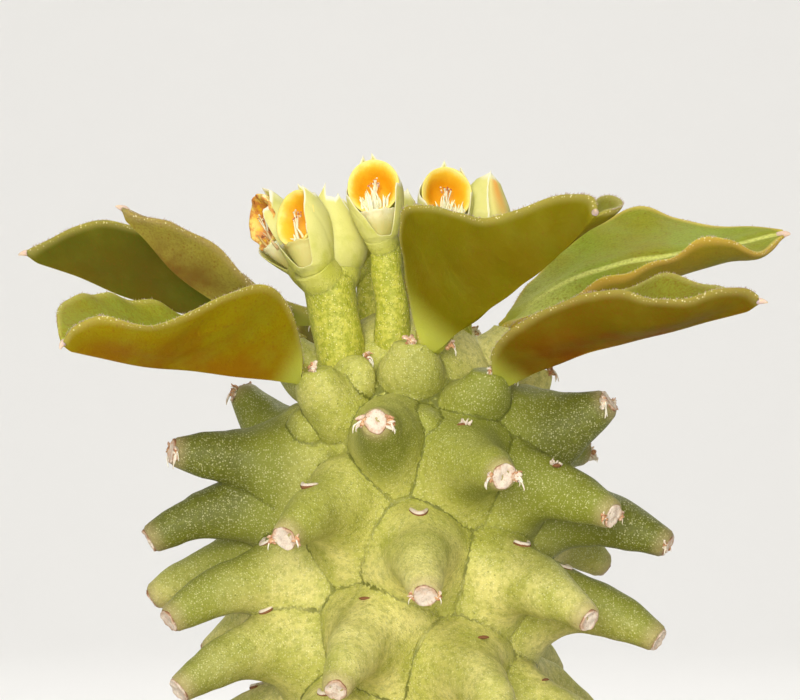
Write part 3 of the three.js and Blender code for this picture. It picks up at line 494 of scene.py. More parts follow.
class Recipe:
    """A material under construction, whose methods each add a node and return what comes out of it."""

    def __init__(self, name: str) -> None:
        """Starts a material with one main shader."""
        self.material = bpy.data.materials.new(name)
        self.material.use_nodes = True
        self.nodes = self.material.node_tree.nodes
        self.links = self.material.node_tree.links
        self.shader = self.nodes["Principled BSDF"]
        self.place = self.nodes.new("ShaderNodeTexCoord").outputs["Object"]

    def feed(self, socket: Socket, value: Number | Colour) -> None:
        """Sets or links one input."""
        if isinstance(value, bpy.types.NodeSocket):
            self.links.new(value, socket)
        elif isinstance(value, tuple) and len(value) == 3 and socket.type == "RGBA":
            socket.default_value = (*value, 1.0)
        else:
            socket.default_value = value

    def plain(self, **numbers: float | Colour) -> None:
        """Sets numbers that are the same all over on the shader itself. Underscores stand for spaces."""
        for name, value in numbers.items():
            self.feed(self.shader.inputs[name.replace("_", " ")], value)

    def math(self, operation: str, first: Number, second: Number) -> Socket:
        """What a named operation makes of two numbers."""
        node = self.nodes.new("ShaderNodeMath")
        node.operation = operation
        self.feed(node.inputs[0], first)
        self.feed(node.inputs[1], second)
        return node.outputs[0]

    def span(self, value: Number, low: float, high: float, start: float = 0.0, end: float = 1.0) -> Socket:
        """A number carried smoothly from one range to another, and held at its ends.

        Args:
            value: The number.
            low: Where it starts to change.
            high: Where it stops.
            start: What it is at low.
            end: What it is at high.
        """
        node = self.nodes.new("ShaderNodeMapRange")
        node.interpolation_type = "SMOOTHSTEP"
        for socket, number in zip(node.inputs, (value, low, high, start, end)):
            self.feed(socket, number)
        return node.outputs[0]

    def times(self, first: Number, second: Number) -> Socket:
        """The product of two numbers."""
        return self.math("MULTIPLY", first, second)

    def plus(self, first: Number, second: Number) -> Socket:
        """The sum of two numbers."""
        return self.math("ADD", first, second)

    def mix(self, share: Number, first: Socket | Colour, second: Socket | Colour) -> Socket:
        """Two colours mixed by a share. The node takes colours at its inputs 6 and 7."""
        node = self.nodes.new("ShaderNodeMix")
        node.data_type = "RGBA"
        self.feed(node.inputs["Factor"], share)
        self.feed(node.inputs[6], first)
        self.feed(node.inputs[7], second)
        return node.outputs[2]

    def over(self, first: Socket | Colour, second: Socket | Colour, value: Number, *ranges: float) -> Socket:
        """Two colours mixed by a number, with the ranges that span() takes."""
        return self.mix(self.span(value, *ranges), first, second)

    def stretched(self, factors: Point) -> Socket:
        """A place, scaled along each axis."""
        node = self.nodes.new("ShaderNodeVectorMath")
        node.operation = "MULTIPLY"
        self.links.new(self.place, node.inputs[0])
        node.inputs[1].default_value = factors
        return node.outputs[0]

    def noise(self, size: float, detail: float, rough: float, vector: Socket | None = None) -> Socket:
        """Cloudy noise from 0 to 1 with blotches of a size in millimetres.

        Args:
            size: The size of its blotches in millimetres.
            detail: How many finer layers it has.
            rough: How strong each of them is beside the one before.
            vector: A stretched place, or None for the plain one.
        """
        node = self.nodes.new("ShaderNodeTexNoise")
        self.links.new(vector or self.place, node.inputs["Vector"])
        node.inputs["Scale"].default_value = 1 / (size * MM)
        node.inputs["Detail"].default_value = detail
        node.inputs["Roughness"].default_value = rough
        return node.outputs[0]

    def specks(self, size: float, near: Pair, luck: Pair, most: float = 1.0) -> tuple[Socket, Socket]:
        """Round specks, one in each cell of the skin.

        Args:
            size: The cells' size in millimetres.
            near: How far from its middle a speck ends and where it is full, in cells.
            luck: The range of a cell's own number in which specks go from faint to strong.
            most: How strong the strongest specks are.

        Returns:
            How strongly a place is covered, and how far it is from a cell's middle.
        """
        node = self.nodes.new("ShaderNodeTexVoronoi")
        self.links.new(self.place, node.inputs["Vector"])
        node.inputs["Scale"].default_value = 1 / (size * MM)
        parted = self.nodes.new("ShaderNodeSeparateColor")
        self.links.new(node.outputs["Color"], parted.inputs[0])
        shown = self.span(node.outputs["Distance"], *near)
        return self.times(shown, self.span(parted.outputs[0], *luck, 0.0, most)), node.outputs["Distance"]

    def value(self, name: str) -> Socket:
        """A number that the mesh carries."""
        node = self.nodes.new("ShaderNodeAttribute")
        node.attribute_name = name
        return node.outputs["Fac"]

    def axes(self) -> tuple[Socket, Socket]:
        """How far a place is from the stem's axis, and its height, in metres."""
        flat = self.nodes.new("ShaderNodeVectorMath")
        flat.operation = "LENGTH"
        self.links.new(self.stretched((1.0, 1.0, 0.0)), flat.inputs[0])
        parted = self.nodes.new("ShaderNodeSeparateXYZ")
        self.links.new(self.place, parted.inputs[0])
        return flat.outputs["Value"], parted.outputs["Z"]

    def relief(self, *layers: tuple[Socket, float]) -> None:
        """Bumps on the shader's normal, each from a height of 0 to 1 and its depth in millimetres."""
        normal = None
        for height, depth in layers:
            bump = self.nodes.new("ShaderNodeBump")
            bump.inputs["Distance"].default_value = depth * MM
            self.links.new(height, bump.inputs["Height"])
            if normal is not None:
                self.links.new(normal, bump.inputs["Normal"])
            normal = bump.outputs[0]
        self.links.new(normal, self.shader.inputs["Normal"])

    def colour(self, socket: Socket) -> None:
        """The colour all over."""
        self.links.new(socket, self.shader.inputs["Base Color"])


@dataclass(frozen=True)
class StemSkin:
    """Fleshy skin: pale yellow-green mounds, darker horns partly in painted shade, fine papillae with painted
    highlights, dark flecks, and painted shade in thin creases and under tips.
    """

    pale: Colour = (0.69, 0.63, 0.21)
    green: Colour = (0.42, 0.42, 0.070)
    deep: Colour = (0.185, 0.205, 0.016)
    crease_shade: Colour = (0.105, 0.115, 0.008)
    papilla_highlight: Colour = (0.90, 0.87, 0.48)
    fleck: Colour = (0.16, 0.17, 0.020)
    tip: Colour = (0.40, 0.31, 0.15)
    crown_height: float = 0.131

    def material(self) -> bpy.types.Material:
        """Colour by distance from the axis and by mottling, painted shade and light, then papillae with
        painted highlights, flecks, horn tips and the painted shade of creases.
        """
        mix = Recipe("stem_skin")
        radius, height = mix.axes()
        mottle = mix.noise(4.5, 4.0, 0.6)
        fine = mix.noise(0.55, 4.0, 0.7)
        gap = mix.value("gap")
        wander = mix.times(mottle, 0.008)
        colour = mix.over(self.pale, self.green, mottle, 0.36, 0.68)
        # Horns darker green farther from the axis, less so low down: partly their own tone, partly painted
        # shade.
        far = mix.span(mix.plus(radius, wander), 0.0165, 0.0270, 0.0, 0.95)
        far = mix.times(far, mix.span(height, 0.112, 0.122, 0.22, 1.0))
        colour = mix.mix(far, colour, self.deep)
        # Painted shade: greener near the creases.
        colour = mix.over(colour, self.green, gap, 1.5, 0.1, 0.0, 0.45)
        colour = mix.over(colour, self.green, height, 0.113, 0.123, 0.0, 0.62)
        # Painted shade from the shade value: deep green up to 1.1, then as dark as a crease. Below 0 it
        # paints pale light.
        colour = mix.over(colour, self.deep, mix.value("shade"), 0.0, 1.1, 0.0, 0.92)
        colour = mix.over(colour, self.crease_shade, mix.value("shade"), 1.1, 2.3, 0.0, 0.95)
        colour = mix.over(colour, self.pale, mix.value("shade"), 0.0, -1.0, 0.0, 0.8)
        # Painted shade: fine dark grain, the small shadows of the papillae.
        colour = mix.over(colour, self.deep, fine, 0.44, 0.64, 0.0, 0.42)
        # Painted highlights: pale dots on the papillae, then finer pale specks.
        dot, from_dot = mix.specks(0.24, (0.42, 0.14), (0.10, 0.80))
        colour = mix.mix(mix.times(dot, 0.42), colour, self.papilla_highlight)
        dust_and_glints, _ = mix.specks(0.15, (0.45, 0.15), (0.4, 0.9), 0.40)
        colour = mix.mix(dust_and_glints, colour, self.papilla_highlight)
        mark, _ = mix.specks(0.60, (0.20, 0.10), (0.74, 0.80))
        colour = mix.mix(mix.times(mark, 0.6), colour, self.fleck)
        colour = mix.over(colour, self.tip, mix.value("tip"), 2.4, 0.9, 0.0, 0.7)
        # Painted shade: a thin dark line along the creases, broken by noise and fainter on the crown.
        line = mix.span(mix.plus(gap, mix.span(mottle, 0.35, 0.65, 0.0, 0.04)), 0.11, 0.015)
        line = mix.times(line, mix.span(mix.noise(6.0, 2.0, 0.5), 0.36, 0.54, 0.32, 0.85))
        line = mix.times(line, mix.span(height, self.crown_height, self.crown_height + 0.003, 1.0, 0.25))
        mix.colour(mix.mix(line, colour, self.crease_shade))
        mix.plain(Roughness=0.55, Subsurface_Weight=0.15, Subsurface_Scale=0.0010, Specular_IOR_Level=0.35,
                  Subsurface_Radius=(1.0, 0.9, 0.25))
        mix.relief((mix.span(from_dot, 0.5, 0.1), 0.035), (fine, 0.10), (mix.span(gap, 0.0, 0.2), 0.07))
        return mix.material


@dataclass(frozen=True)
class CorkScar:
    """Dry corky tissue: cream to pinkish buff, pitted, with a thin brown rim."""

    cream: Colour = (0.74, 0.64, 0.52)
    buff: Colour = (0.58, 0.39, 0.26)
    pit: Colour = (0.34, 0.17, 0.09)
    rim: Colour = (0.23, 0.10, 0.04)

    def material(self) -> bpy.types.Material:
        """Blotches of cream and buff, dark pits, and the rim where the mesh says so."""
        mix = Recipe("cork_scar")
        blotch = mix.noise(1.1, 4.0, 0.65)
        grain = mix.noise(0.18, 3.0, 0.7)
        rim = mix.value("rim")
        worn = mix.plus(blotch, mix.span(rim, 0.55, 1.0, 0.0, 0.14))
        colour = mix.over(self.cream, self.buff, worn, 0.50, 0.74)
        colour = mix.over(colour, self.pit, grain, 0.58, 0.70, 0.0, 0.75)
        edge = mix.plus(rim, mix.times(blotch, 0.16))
        colour = mix.over(colour, self.rim, edge, 1.02, 1.10)
        mix.colour(colour)
        mix.plain(Roughness=0.85, Subsurface_Weight=0.05, Subsurface_Scale=0.0006, Specular_IOR_Level=0.25)
        mix.relief((blotch, 0.12), (grain, 0.12))
        return mix.material


@dataclass(frozen=True)
class DryStipule:
    """Papery stipules: red-brown scales and bleached, curled threads."""

    brown: Colour = (0.36, 0.15, 0.06)
    rust: Colour = (0.64, 0.36, 0.18)
    bleached: Colour = (0.86, 0.79, 0.66)

    def material(self) -> bpy.types.Material:
        """Brown to rust by noise, bleached where the mesh says so."""
        mix = Recipe("dry_stipule")
        grain = mix.noise(0.35, 3.0, 0.7)
        colour = mix.over(self.brown, self.rust, grain, 0.38, 0.62)
        pale = mix.plus(mix.value("pale"), mix.span(grain, 0.5, 0.8, -0.05, 0.35))
        mix.colour(mix.mix(mix.span(pale, 0.25, 0.95), colour, self.bleached))
        mix.plain(Roughness=0.75, Subsurface_Weight=0.15, Subsurface_Scale=0.0004)
        mix.relief((grain, 0.06))
        return mix.material


@dataclass(frozen=True)
class Tubercle:
    """One tubercle: its number on the spiral, its azimuth, its tip's height and reach, and its droop."""

    number: int
    azimuth: float
    height: float
    reach: float
    drop: float = 0.0


@dataclass
class Stem:
    """The green column with its tubercles, and what grows at their tips and in their axils."""

    spiral_azimuth: float = -8.0
    spiral_height: float = 128.9
    turn: float = -82.0
    rise: float = 1.04
    first: int = -3
    last: int = 46
    off_spiral: dict[int, Pair] = field(default_factory=lambda: {
        -3: (-123, 131.4), -1: (70, 130.5), 1: (-76, 125.8), 3: (128, 125.3), 4: (20.5, 124.0),
        6: (-150, 123.0), 8: (49, 120.2), 9: (-27.5, 118.4), 10: (-130, 119.5), 12: (77.5, 117.0),
        13: (3, 113.4), 14: (-81.5, 117.4), 16: (130, 114.0), 17: (40.5, 110.8), 18: (-63.5, 110.3),
        19: (-99, 111.5), 21: (67.5, 108.4), 22: (-15.5, 104.9), 23: (-128, 105.5), 25: (145, 103.0),
        27: (-58.5, 104.0)})
    shorter: dict[int, float] = field(default_factory=lambda: {-3: 0.9, -1: 2.2, 3: 1.9})
    stunted: int = 5
    leaflets: int = 5
    bumps: tuple[Point, ...] = ((-57, 128.0, 13.2), (5.0, 127.9, 14.4), (-34, 132.4, 11.1))
    crown: tuple[Tubercle, ...] = (
        Tubercle(-4, -42, 133.5, 13.5), Tubercle(-5, 34, 133.3, 13.2), Tubercle(-6, 124, 133.4, 14.6),
        Tubercle(-7, -172, 134.0, 13.0), Tubercle(-8, -85, 136.2, 11.5), Tubercle(-9, 1.5, 136.0, 9.9),
        Tubercle(-10, 92, 137.4, 9.5), Tubercle(-11, 172, 138.2, 8.5), Tubercle(-12, -122, 138.4, 8.8))
    column: tuple[Pair, ...] = (
        (54, 6.0), (59, 8.6), (70, 8.6), (74, 9.4), (80, 10.4), (96, 10.8), (124, 10.8), (129, 10.0),
        (133, 8.6), (136, 6.9), (138, 5.0), (139.3, 2.6))
    start: float = 4.0
    foot: float = 11.0
    root_below_arch: float = 4.5
    tip_radius: float = 1.3
    root_radius: float = 2.9
    flare: Point = (2.9, 1.7, 6.8)
    own_flares: dict[int, Point] = field(default_factory=lambda: {
        0: (1.2, 1.7, 5.4), 4: (3.9, 1.8, 6.8), 8: (2.6, 1.7, 6.8), 13: (3.0, 2.5, 6.8)})
    flare_length: float = 3.2
    sides: int = 52
    lumps: float = 0.16
    waves: float = 0.42
    softening: int = 9
    valley: float = 0.75
    line_angle: float = 27.0
    # Painted shade for each tubercle: a patch below its tip and a wide patch round it. A negative wide patch
    # paints light.
    painted_shade_and_light: dict[int, Pair] = field(default_factory=lambda: {
        -3: (1.0, 0.9), -1: (1.0, 3.2), 0: (1.0, 0.45), 1: (1.0, 3.0), 3: (0.9, 1.3), 4: (1.3, 0.2),
        6: (0.6, 0.5), 8: (0.2, 0.5), 9: (0.25, 0.0), 12: (0.6, 1.6), 13: (0.0, -1.0), 14: (0.5, 0.5),
        15: (0.0, 3.0), 27: (0.0, 0.8), -4: (0.0, -0.2), -5: (0.0, 0.7), -9: (0.0, 0.35), -10: (0.0, -3.4)})
    eye_depth: float = 2.6
    eye_moves: dict[int, Pair] = field(default_factory=lambda: {
        4: (-0.3, 1.2), 8: (-1.1, 3.3), 9: (-0.7, 2.7), 13: (0.0, 2.3), 17: (0.0, 3.1), 18: (0.0, 1.9),
        22: (-0.3, 1.8), 26: (1.5, 2.5)})
    bare_eyes: tuple[int, ...] = (22, 26, 30, 35, 39)
    crumbly_eyes: tuple[int, ...] = (4, 8, 12)
    last_tufted: int = 13
    tuft_moves: dict[tuple[int, int], float] = field(default_factory=lambda: {
        (-9, -1): 1.8, (-9, 1): 1.4, (-5, -1): 1.7, (-4, 1): -1.5})
    apex_tufts: tuple[Point, ...] = ((-4.2, -7.6, 134.7), (3.4, -6.2, 136.4), (6.2, 3.5, 137.2))

    def tubercles(self) -> list[Tubercle]:
        """The tubercles of the column, down the spiral."""
        found = []
        for number in range(self.first, self.last + 1):
            if number == self.stunted:
                continue
            on_spiral = (self.spiral_azimuth + self.turn * number, self.spiral_height - self.rise * number)
            azimuth, height = self.off_spiral.get(number, on_spiral)
            reach = 25 - 4.5 * math.exp(-(number + 3) / 5) - max(0, number - 34) * 0.5
            reach -= self.shorter.get(number, 0)
            drop = 9.7 - 7.2 * math.exp(-number / 6)
            found.append(Tubercle(number, azimuth, height, reach, drop))
        return found

    def centre_line(self, tubercle: Tubercle, radii: np.ndarray) -> tuple[np.ndarray, np.ndarray]:
        """The middle of a tubercle at distances from the axis: its heights and its slope vectors.

        The line bends from level to the tip, a curve of second degree whose share is found from the distance.

        Args:
            tubercle: The tubercle.
            radii: Distances from the stem's axis.

        Returns:
            The line's heights, and its directions as outward and upward parts.
        """
        root = tubercle.height + tubercle.drop - self.root_below_arch
        bend = self.foot + 0.45 * (tubercle.reach - self.foot)
        share = np.linspace(0, 1, 400)
        across, rise = bent(share, self.start, bend, tubercle.reach), bent(share, root, root, tubercle.height)
        slope = np.interp(radii, across, np.gradient(rise, across))
        return np.interp(radii, across, rise), unit(np.stack([np.ones_like(radii), slope], -1))

    def horn_rings(self, tubercle: Tubercle, radii: np.ndarray, angles: np.ndarray) -> np.ndarray:
        """Points of a tubercle's skin by distance from the axis and by angle round it.

        Each ring is an oval about the centre line, with its own half-widths to the side, up and down. They
        swell towards the foot by the flare, and the ring turns from upright there to square to the line.

        Args:
            tubercle: The tubercle.
            radii: Distances of the rings from the stem's axis.
            angles: Angles round it, from its right side over its top.

        Returns:
            Points by ring and angle.
        """
        heights, along = self.centre_line(tubercle, radii)
        grown = np.clip((radii - self.foot) / (tubercle.reach - self.foot), 0, 1)
        plump = self.tip_radius + (self.root_radius - self.tip_radius) * (1 - grown**2.2)
        flare = np.exp(-(np.maximum(0, radii - self.foot) / self.flare_length)**1.5)
        flares = self.own_flares.get(tubercle.number, self.flare)
        side, above, below = (plump + wide * flare for wide in flares)
        out = outward(tubercle.azimuth)
        lean = 1 - flare
        up = unit((-along[:, 1] * lean)[:, None] * out + (flare + along[:, 0] * lean)[:, None] * UP)
        rise = np.sin(angles)[None, :] * np.where(np.sin(angles) > 0, above[:, None], below[:, None])
        across = side[:, None] * np.cos(angles)[None, :]
        centres = radii[:, None] * out + heights[:, None] * UP
        aside = sideways(tubercle.azimuth)
        rings = centres[:, None] + across[..., None] * aside + rise[..., None] * up[:, None]
        swell = self.lumps * ripple(rings, 6.0, 11) + 0.35 * self.lumps * ripple(rings, 2.2, 12)
        swell = swell + self.waves * ripple(rings, 10.0, 40 + tubercle.number) * flare[:, None]
        away = unit(rings - centres[:, None])
        shown = np.clip((tubercle.reach - radii) / 3, 0.15, 1)[:, None, None]
        return rings + away * swell[..., None] * shown

    def horn(self, tubercle: Tubercle) -> Surface:
        """A tubercle as a closed shape, with a bevelled shoulder at the scar."""
        reach = tubercle.reach
        radii = np.concatenate([np.linspace(6.6, 10.4, 6), np.linspace(10.9, 14.6, 14),
                                np.linspace(15.0, reach - 0.25, 24), [reach]])
        angles = full_turn(self.sides)
        rings = self.horn_rings(tubercle, radii, angles)
        rings[-1] = rings[-1].mean(0) + (rings[-1] - rings[-1].mean(0)) * 0.88
        return tube(rings)

    def crown_line(self, tubercle: Tubercle, shares: np.ndarray) -> tuple[np.ndarray, np.ndarray]:
        """Distances from the axis, heights and slopes along a crown tubercle, which turns upwards.

        Args:
            tubercle: The tubercle.
            shares: Places along it, from 0 to 1.

        Returns:
            Each place's distance and height, and its direction as outward and upward parts.
        """
        ends = np.array([[2.5, tubercle.height - 5.2], [0.92 * tubercle.reach, tubercle.height - 3.744],
                         [tubercle.reach, tubercle.height]])
        t = shares[:, None]
        along = unit(2 * (1 - t) * (ends[1] - ends[0]) + 2 * t * (ends[2] - ends[1]))
        return bent(t, *ends), along

    def crown_horn(self, tubercle: Tubercle) -> Surface:
        """A tubercle of the crown, an oval carried along its line, wide and deep at the foot."""
        shares = np.linspace(0, 1, 34)
        at, along = self.crown_line(tubercle, shares)
        out, side = outward(tubercle.azimuth), sideways(tubercle.azimuth)
        up = along[:, :1] * UP - along[:, 1:] * out
        angles = full_turn(40)
        width = 4.0 - 2.1 * shares**1.6
        below = 5.6 - 4.08 * shares**0.9
        rise = np.sin(angles) * np.where(np.sin(angles) > 0, 0.8 * width[:, None], below[:, None])
        centres = at[:, :1] * out + at[:, 1:] * UP
        across = width[:, None] * np.cos(angles)
        rings = centres[:, None] + across[..., None] * side + rise[..., None] * up[:, None]
        rings += unit(rings - centres[:, None]) * (self.lumps * ripple(rings, 5.0, 13))[..., None]
        return tube(rings)

    def bump(self, azimuth: float, height: float, reach: float) -> Surface:
        """A small tubercle that never grew out: a ball on a short neck.

        Args:
            azimuth: Where it points.
            height: Its height.
            reach: How far its end is from the axis.
        """
        shares = np.linspace(0, 1, 16)
        radii = 9 + (reach - 9) * np.sin(shares * np.pi / 2)
        width = 2.5 * np.cos(shares * np.pi / 2 * 0.98)**0.55
        angles = full_turn(28)
        centres = radii[:, None] * outward(azimuth) + height * UP
        around = np.cos(angles)[:, None] * sideways(azimuth) + np.sin(angles)[:, None] * UP
        return tube(centres[:, None] + width[:, None, None] * around)

    def leaflet(self, number: int) -> Surface:
        """A young leaf of the growing point, a small pointed tongue that leans inwards."""
        azimuth = 40 + number * self.turn
        out, side = outward(azimuth), sideways(azimuth)
        shares = np.linspace(0, 1, 18)
        angles = full_turn(20)
        width = (1 - shares**2.4) * 0.75 + 0.03
        centres = out * (2.6 + 0.5 * shares[:, None]) + UP * (137.6 + 2.8 * shares[:, None])
        across = 1.3 * width[:, None] * np.cos(angles)
        deep = width[:, None] * np.sin(angles)
        return tube(centres[:, None] + across[..., None] * side + deep[..., None] * out)

    def trunk(self) -> Surface:
        """The column itself, a turned profile with slight lumps."""
        profile = spline(np.array(self.column, float), np.linspace(0, 1, 90))
        rings = level_rings(profile[:, 1], profile[:, 0], 72)
        rings += circle(72) * (self.lumps * ripple(rings, 7.0, 14))[..., None]
        return tube(rings)

    def skin(self) -> None:
        """The whole stem as one skin, with each point's shade and its distance to a crease and to a tip."""
        tubercles = self.tubercles()
        parts = [self.trunk(), *map(self.horn, tubercles), *map(self.crown_horn, self.crown)]
        parts += [self.bump(*bump) for bump in self.bumps]
        parts += [self.leaflet(number) for number in range(self.leaflets)]
        piece = united("stem_skin", parts)
        points = points_of(piece.data)
        gap = nearest(points, crease_points(piece.data, self.line_angle), 3.0)
        valley = nearest(points, crease_points(piece.data, 9.0), 3.0)
        points = softened(piece.data, points, np.exp(-(valley / self.valley)**2), self.softening)
        put_values(piece.data, "gap", gap)
        tips = np.array([outward(t.azimuth) * t.reach + UP * t.height for t in tubercles])
        put_values(piece.data, "tip", nearest(points, tips, 6.0))
        put_values(piece.data, "shade", sum(self.painted_shade_and_light_near_tip(points, t) for t in (*tubercles, *self.crown)
                                          if t.number in self.painted_shade_and_light))
        finished(piece, StemSkin().material(), "stem", "stem")

    def painted_shade_and_light_near_tip(self, points: np.ndarray, tubercle: Tubercle) -> np.ndarray:
        """Painted shade below a tip, a soft patch that fades to the sides, downwards and inwards, and a wide
        patch round the tip whose negative values paint light.

        Args:
            points: Places on the skin.
            tubercle: The tubercle whose tip it is.

        Returns:
            A number for each place: 1 paints deep green shade, more paints shade as dark as a crease, and
                below 0 paints pale light.
        """
        step = points - (outward(tubercle.azimuth) * tubercle.reach + UP * tubercle.height)
        aside, inwards = step @ sideways(tubercle.azimuth), -step @ outward(tubercle.azimuth)
        below = np.clip((-step[:, 2] - 0.5) / 1.3, 0, 1) * np.clip((8 + step[:, 2]) / 4, 0, 1)
        depth = np.clip((inwards + 0.5) / 0.8, 0, 1) * np.clip((9 - inwards) / 4, 0, 1)
        patch, wide = self.painted_shade_and_light[tubercle.number]
        return patch * below * depth * np.exp(-(aside / 2.2)**2) + wide * np.exp(-(step**2).sum(-1) / 90)

    def tip_frame(self, tubercle: Tubercle) -> tuple[np.ndarray, np.ndarray, np.ndarray, np.ndarray]:
        """A tubercle's tip, the direction that it ends in, its side and its upper side."""
        heights, along = self.centre_line(tubercle, np.array([tubercle.reach]))
        out = outward(tubercle.azimuth)
        way = along[0, 0] * out + along[0, 1] * UP
        side = sideways(tubercle.azimuth)
        return out * tubercle.reach + UP * heights[0], way, side, np.cross(side, way) * -1

    def scar(self, tubercle: Tubercle) -> Surface:
        """The corky disc of a fallen leaf: rings from behind the skin round a ragged edge to the middle."""
        tip, way, side, up = self.tip_frame(tubercle)
        random = np.random.default_rng(500 + tubercle.number)
        angles = full_turn(32)
        ragged = np.ones(32)
        for deep, waves in ((0.05, 2), (0.04, 3), (0.02, 7)):
            ragged = ragged + deep * np.sin(waves * angles + random.uniform(0, 6))
        shares = np.array([0.75, 0.97, 1.0, 0.96, 0.88, 0.76, 0.62, 0.46, 0.30, 0.14])
        depth = np.array([-0.7, -0.3, 0.02, 0.13, 0.17, 0.13, 0.10, 0.09, 0.08, 0.08])
        size = random.uniform(1.0, 1.17) * shares[:, None] * ragged
        across, rise = size * np.cos(angles), 1.08 * size * np.sin(angles)
        rings = tip + across[..., None] * side + rise[..., None] * up
        rough = 0.07 * ripple(rings, 0.8, 21) + 0.03 * ripple(rings, 0.3, 22)
        rings = rings + way * (depth[:, None] + rough * (shares[:, None] < 0.98))[..., None]
        return tube(rings, {"rim": np.repeat(shares[:, None], 32, 1)})

    def eye(self, tubercle: Tubercle) -> list[Surface]:
        """The small scar in a tubercle's axil, on the crest of the mound and below its top.

        Most are a thick white crescent over a dark seam. Some are a crumbled lens, or only a brown pit.
        """
        random = np.random.default_rng(900 + tubercle.number)
        shift, depth = self.eye_moves.get(tubercle.number, (random.uniform(-0.4, 0.4), self.eye_depth))
        radii = np.linspace(10.5, 19, 60)
        crest = self.horn_rings(tubercle, radii, np.array([np.pi / 2 - 0.02, np.pi / 2, np.pi / 2 + 0.02]))
        ring = max(1, int(np.argmin(np.abs(crest[:, 1, 2] - (crest[0, 1, 2] - depth)))))
        side = sideways(tubercle.azimuth)
        down = unit(crest[ring + 1, 1] - crest[ring - 1, 1])
        normal = unit(np.cross(side, down))
        normal = normal * np.sign(normal @ (outward(tubercle.azimuth) + UP))
        at = crest[ring, 1] + side * shift - normal * 0.05 * shift**2
        t = np.linspace(-1, 1, 17)
        wide = random.uniform(0.74, 0.92)
        sag = 0.85 * (1 - t**2)
        smile = at + side * (wide * t)[:, None] + down * (sag - 0.4)[:, None] + normal * 0.05
        thick = 0.06 + 0.19 * np.sqrt(1 - (0.90 * t + 0.09)**2)
        if tubercle.number in self.bare_eyes:
            lens = at + down * 0.1 + side * (0.55 * t)[:, None] - normal * 0.02
            return [tagged(strand(lens, 0.05 + 0.13 * (1 - t**2), 9), rim=1.1)]
        if tubercle.number in self.crumbly_eyes:
            crumbs = []
            for _ in range(5):
                place = at + side * random.uniform(-0.6, 0.5) + down * random.uniform(-0.25, 0.25)
                way = unit(side * random.uniform(-1, 1) + normal * 0.5)
                crumbs.append(tagged(flake(place, way, 0.55, 0.24, random), rim=0.3))
            lens = at + down * 0.12 + side * (0.7 * t)[:, None] - normal * 0.04
            return crumbs + [tagged(strand(lens, 0.06 + 0.16 * (1 - t**2), 9), rim=1.1)]
        seam = smile + down * 0.03 - normal * 0.12
        return [tagged(strand(smile, thick, 10), rim=0.1), tagged(strand(seam, thick + 0.03, 10), rim=1.3)]

    def scars(self) -> None:
        """The scars at the tips and in the axils, in one piece."""
        tubercles = self.tubercles()
        parts = [self.scar(tubercle) for tubercle in tubercles]
        parts += [part for tubercle in tubercles if tubercle.number >= 4 for part in self.eye(tubercle)]
        finished(mesh_of("leaf_scars", Surface.joined(parts)), CorkScar().material(), "stem")

    def tuft(self, at: np.ndarray, hand: float, way: np.ndarray, side: np.ndarray, seed: int, size: float,
             threads: int) -> list[Surface]:
        """Dry scales and curled threads on one side of a leaf's foot or scar.

        Args:
            at: Where they grow from.
            hand: 1 or -1, for the side that they stand to.
            way: The direction that the tubercle ends in.
            side: The level direction across it.
            seed: Picks the bits at random.
            size: Scale of the tuft.
            threads: How many bleached threads it has.
        """
        random = np.random.default_rng(seed)
        parts = []
        for _ in range(10):
            lean = unit(hand * side * 0.9 + way * random.uniform(0.0, 0.8) + UP * random.uniform(-1.0, 0.8))
            shift = UP * random.uniform(-0.5, 0.4) + hand * side * random.uniform(0, 0.35)
            foot = at + shift * size - lean * 0.25
            scale = size * random.uniform(0.5, 1.0)
            parts.append(tagged(flake(foot, lean, scale, 0.46 * scale, random), pale=random.uniform(0, 0.8)))
        for k in range(threads):
            lift = random.uniform(-0.3, 0.2) + 0.5 * (k % 2)
            lean = unit(hand * side * random.uniform(0.6, 1) + way * random.uniform(0.1, 0.5) + UP * lift)
            bend = unit(-UP * random.uniform(0.6, 1.0) + way * random.uniform(-0.2, 0.3) + hand * side * 0.15)
            thread = curl(at - lean * 0.2, lean, bend, size * random.uniform(1.3, 2.1), 0.14 * size)
            thread.points = thread.points + 0.10 * size * ripple(thread.points, 0.9, seed + k)[:, None] * UP
            parts.append(tagged(thread, pale=random.uniform(0.7, 1.0)))
        return parts

    def stipules(self) -> None:
        """The dry stipules beside the upper scars and at the feet of the leaves."""
        parts: list[Surface] = []
        for tubercle in self.tubercles():
            if tubercle.number > self.last_tufted:
                continue
            tip, way, side, _ = self.tip_frame(tubercle)
            age = (tubercle.number - self.first) / (self.last_tufted - self.first)
            for hand in (-1, 1):
                seed = 70 * tubercle.number + hand + 500
                place = tip + hand * side * 1.05 - way * 0.1
                parts += self.tuft(place, hand, way, side, seed, 1.1 - 0.45 * age, 3 if age < 0.5 else 1)
        for tubercle in self.crown:
            out, side = outward(tubercle.azimuth), sideways(tubercle.azimuth)
            tip = tubercle.reach * out + tubercle.height * UP
            for hand in (-1, 1):
                seed = 40 * tubercle.number + hand + 900
                aside = hand * 1.75 + self.tuft_moves.get((tubercle.number, hand), 0.0)
                parts += self.tuft(tip + side * aside + out * 0.5, hand, out, side, seed, 0.9, 3)
        for k, place in enumerate(self.apex_tufts):
            parts += self.tuft(np.array(place), (-1) ** k, outward(0), sideways(0), 300 + k, 0.8, 4)
        finished(mesh_of("stipules", Surface.joined(parts)), DryStipule().material(), "stem")

    def build(self) -> None:
        """Makes every piece of the stem."""
        self.skin()
        self.scars()
        self.stipules()


class Tone(Enum):
    """How a leaf has coloured; one darker tone paints shade."""

    OLIVE = "olive"
    AMBER = "amber"
    GOLDEN = "golden"
    FRESH = "fresh"
    # A darker olive skin for a leaf that lies in shade: painted shade.
    DEEP = "deep"
    DUSKY = "dusky"


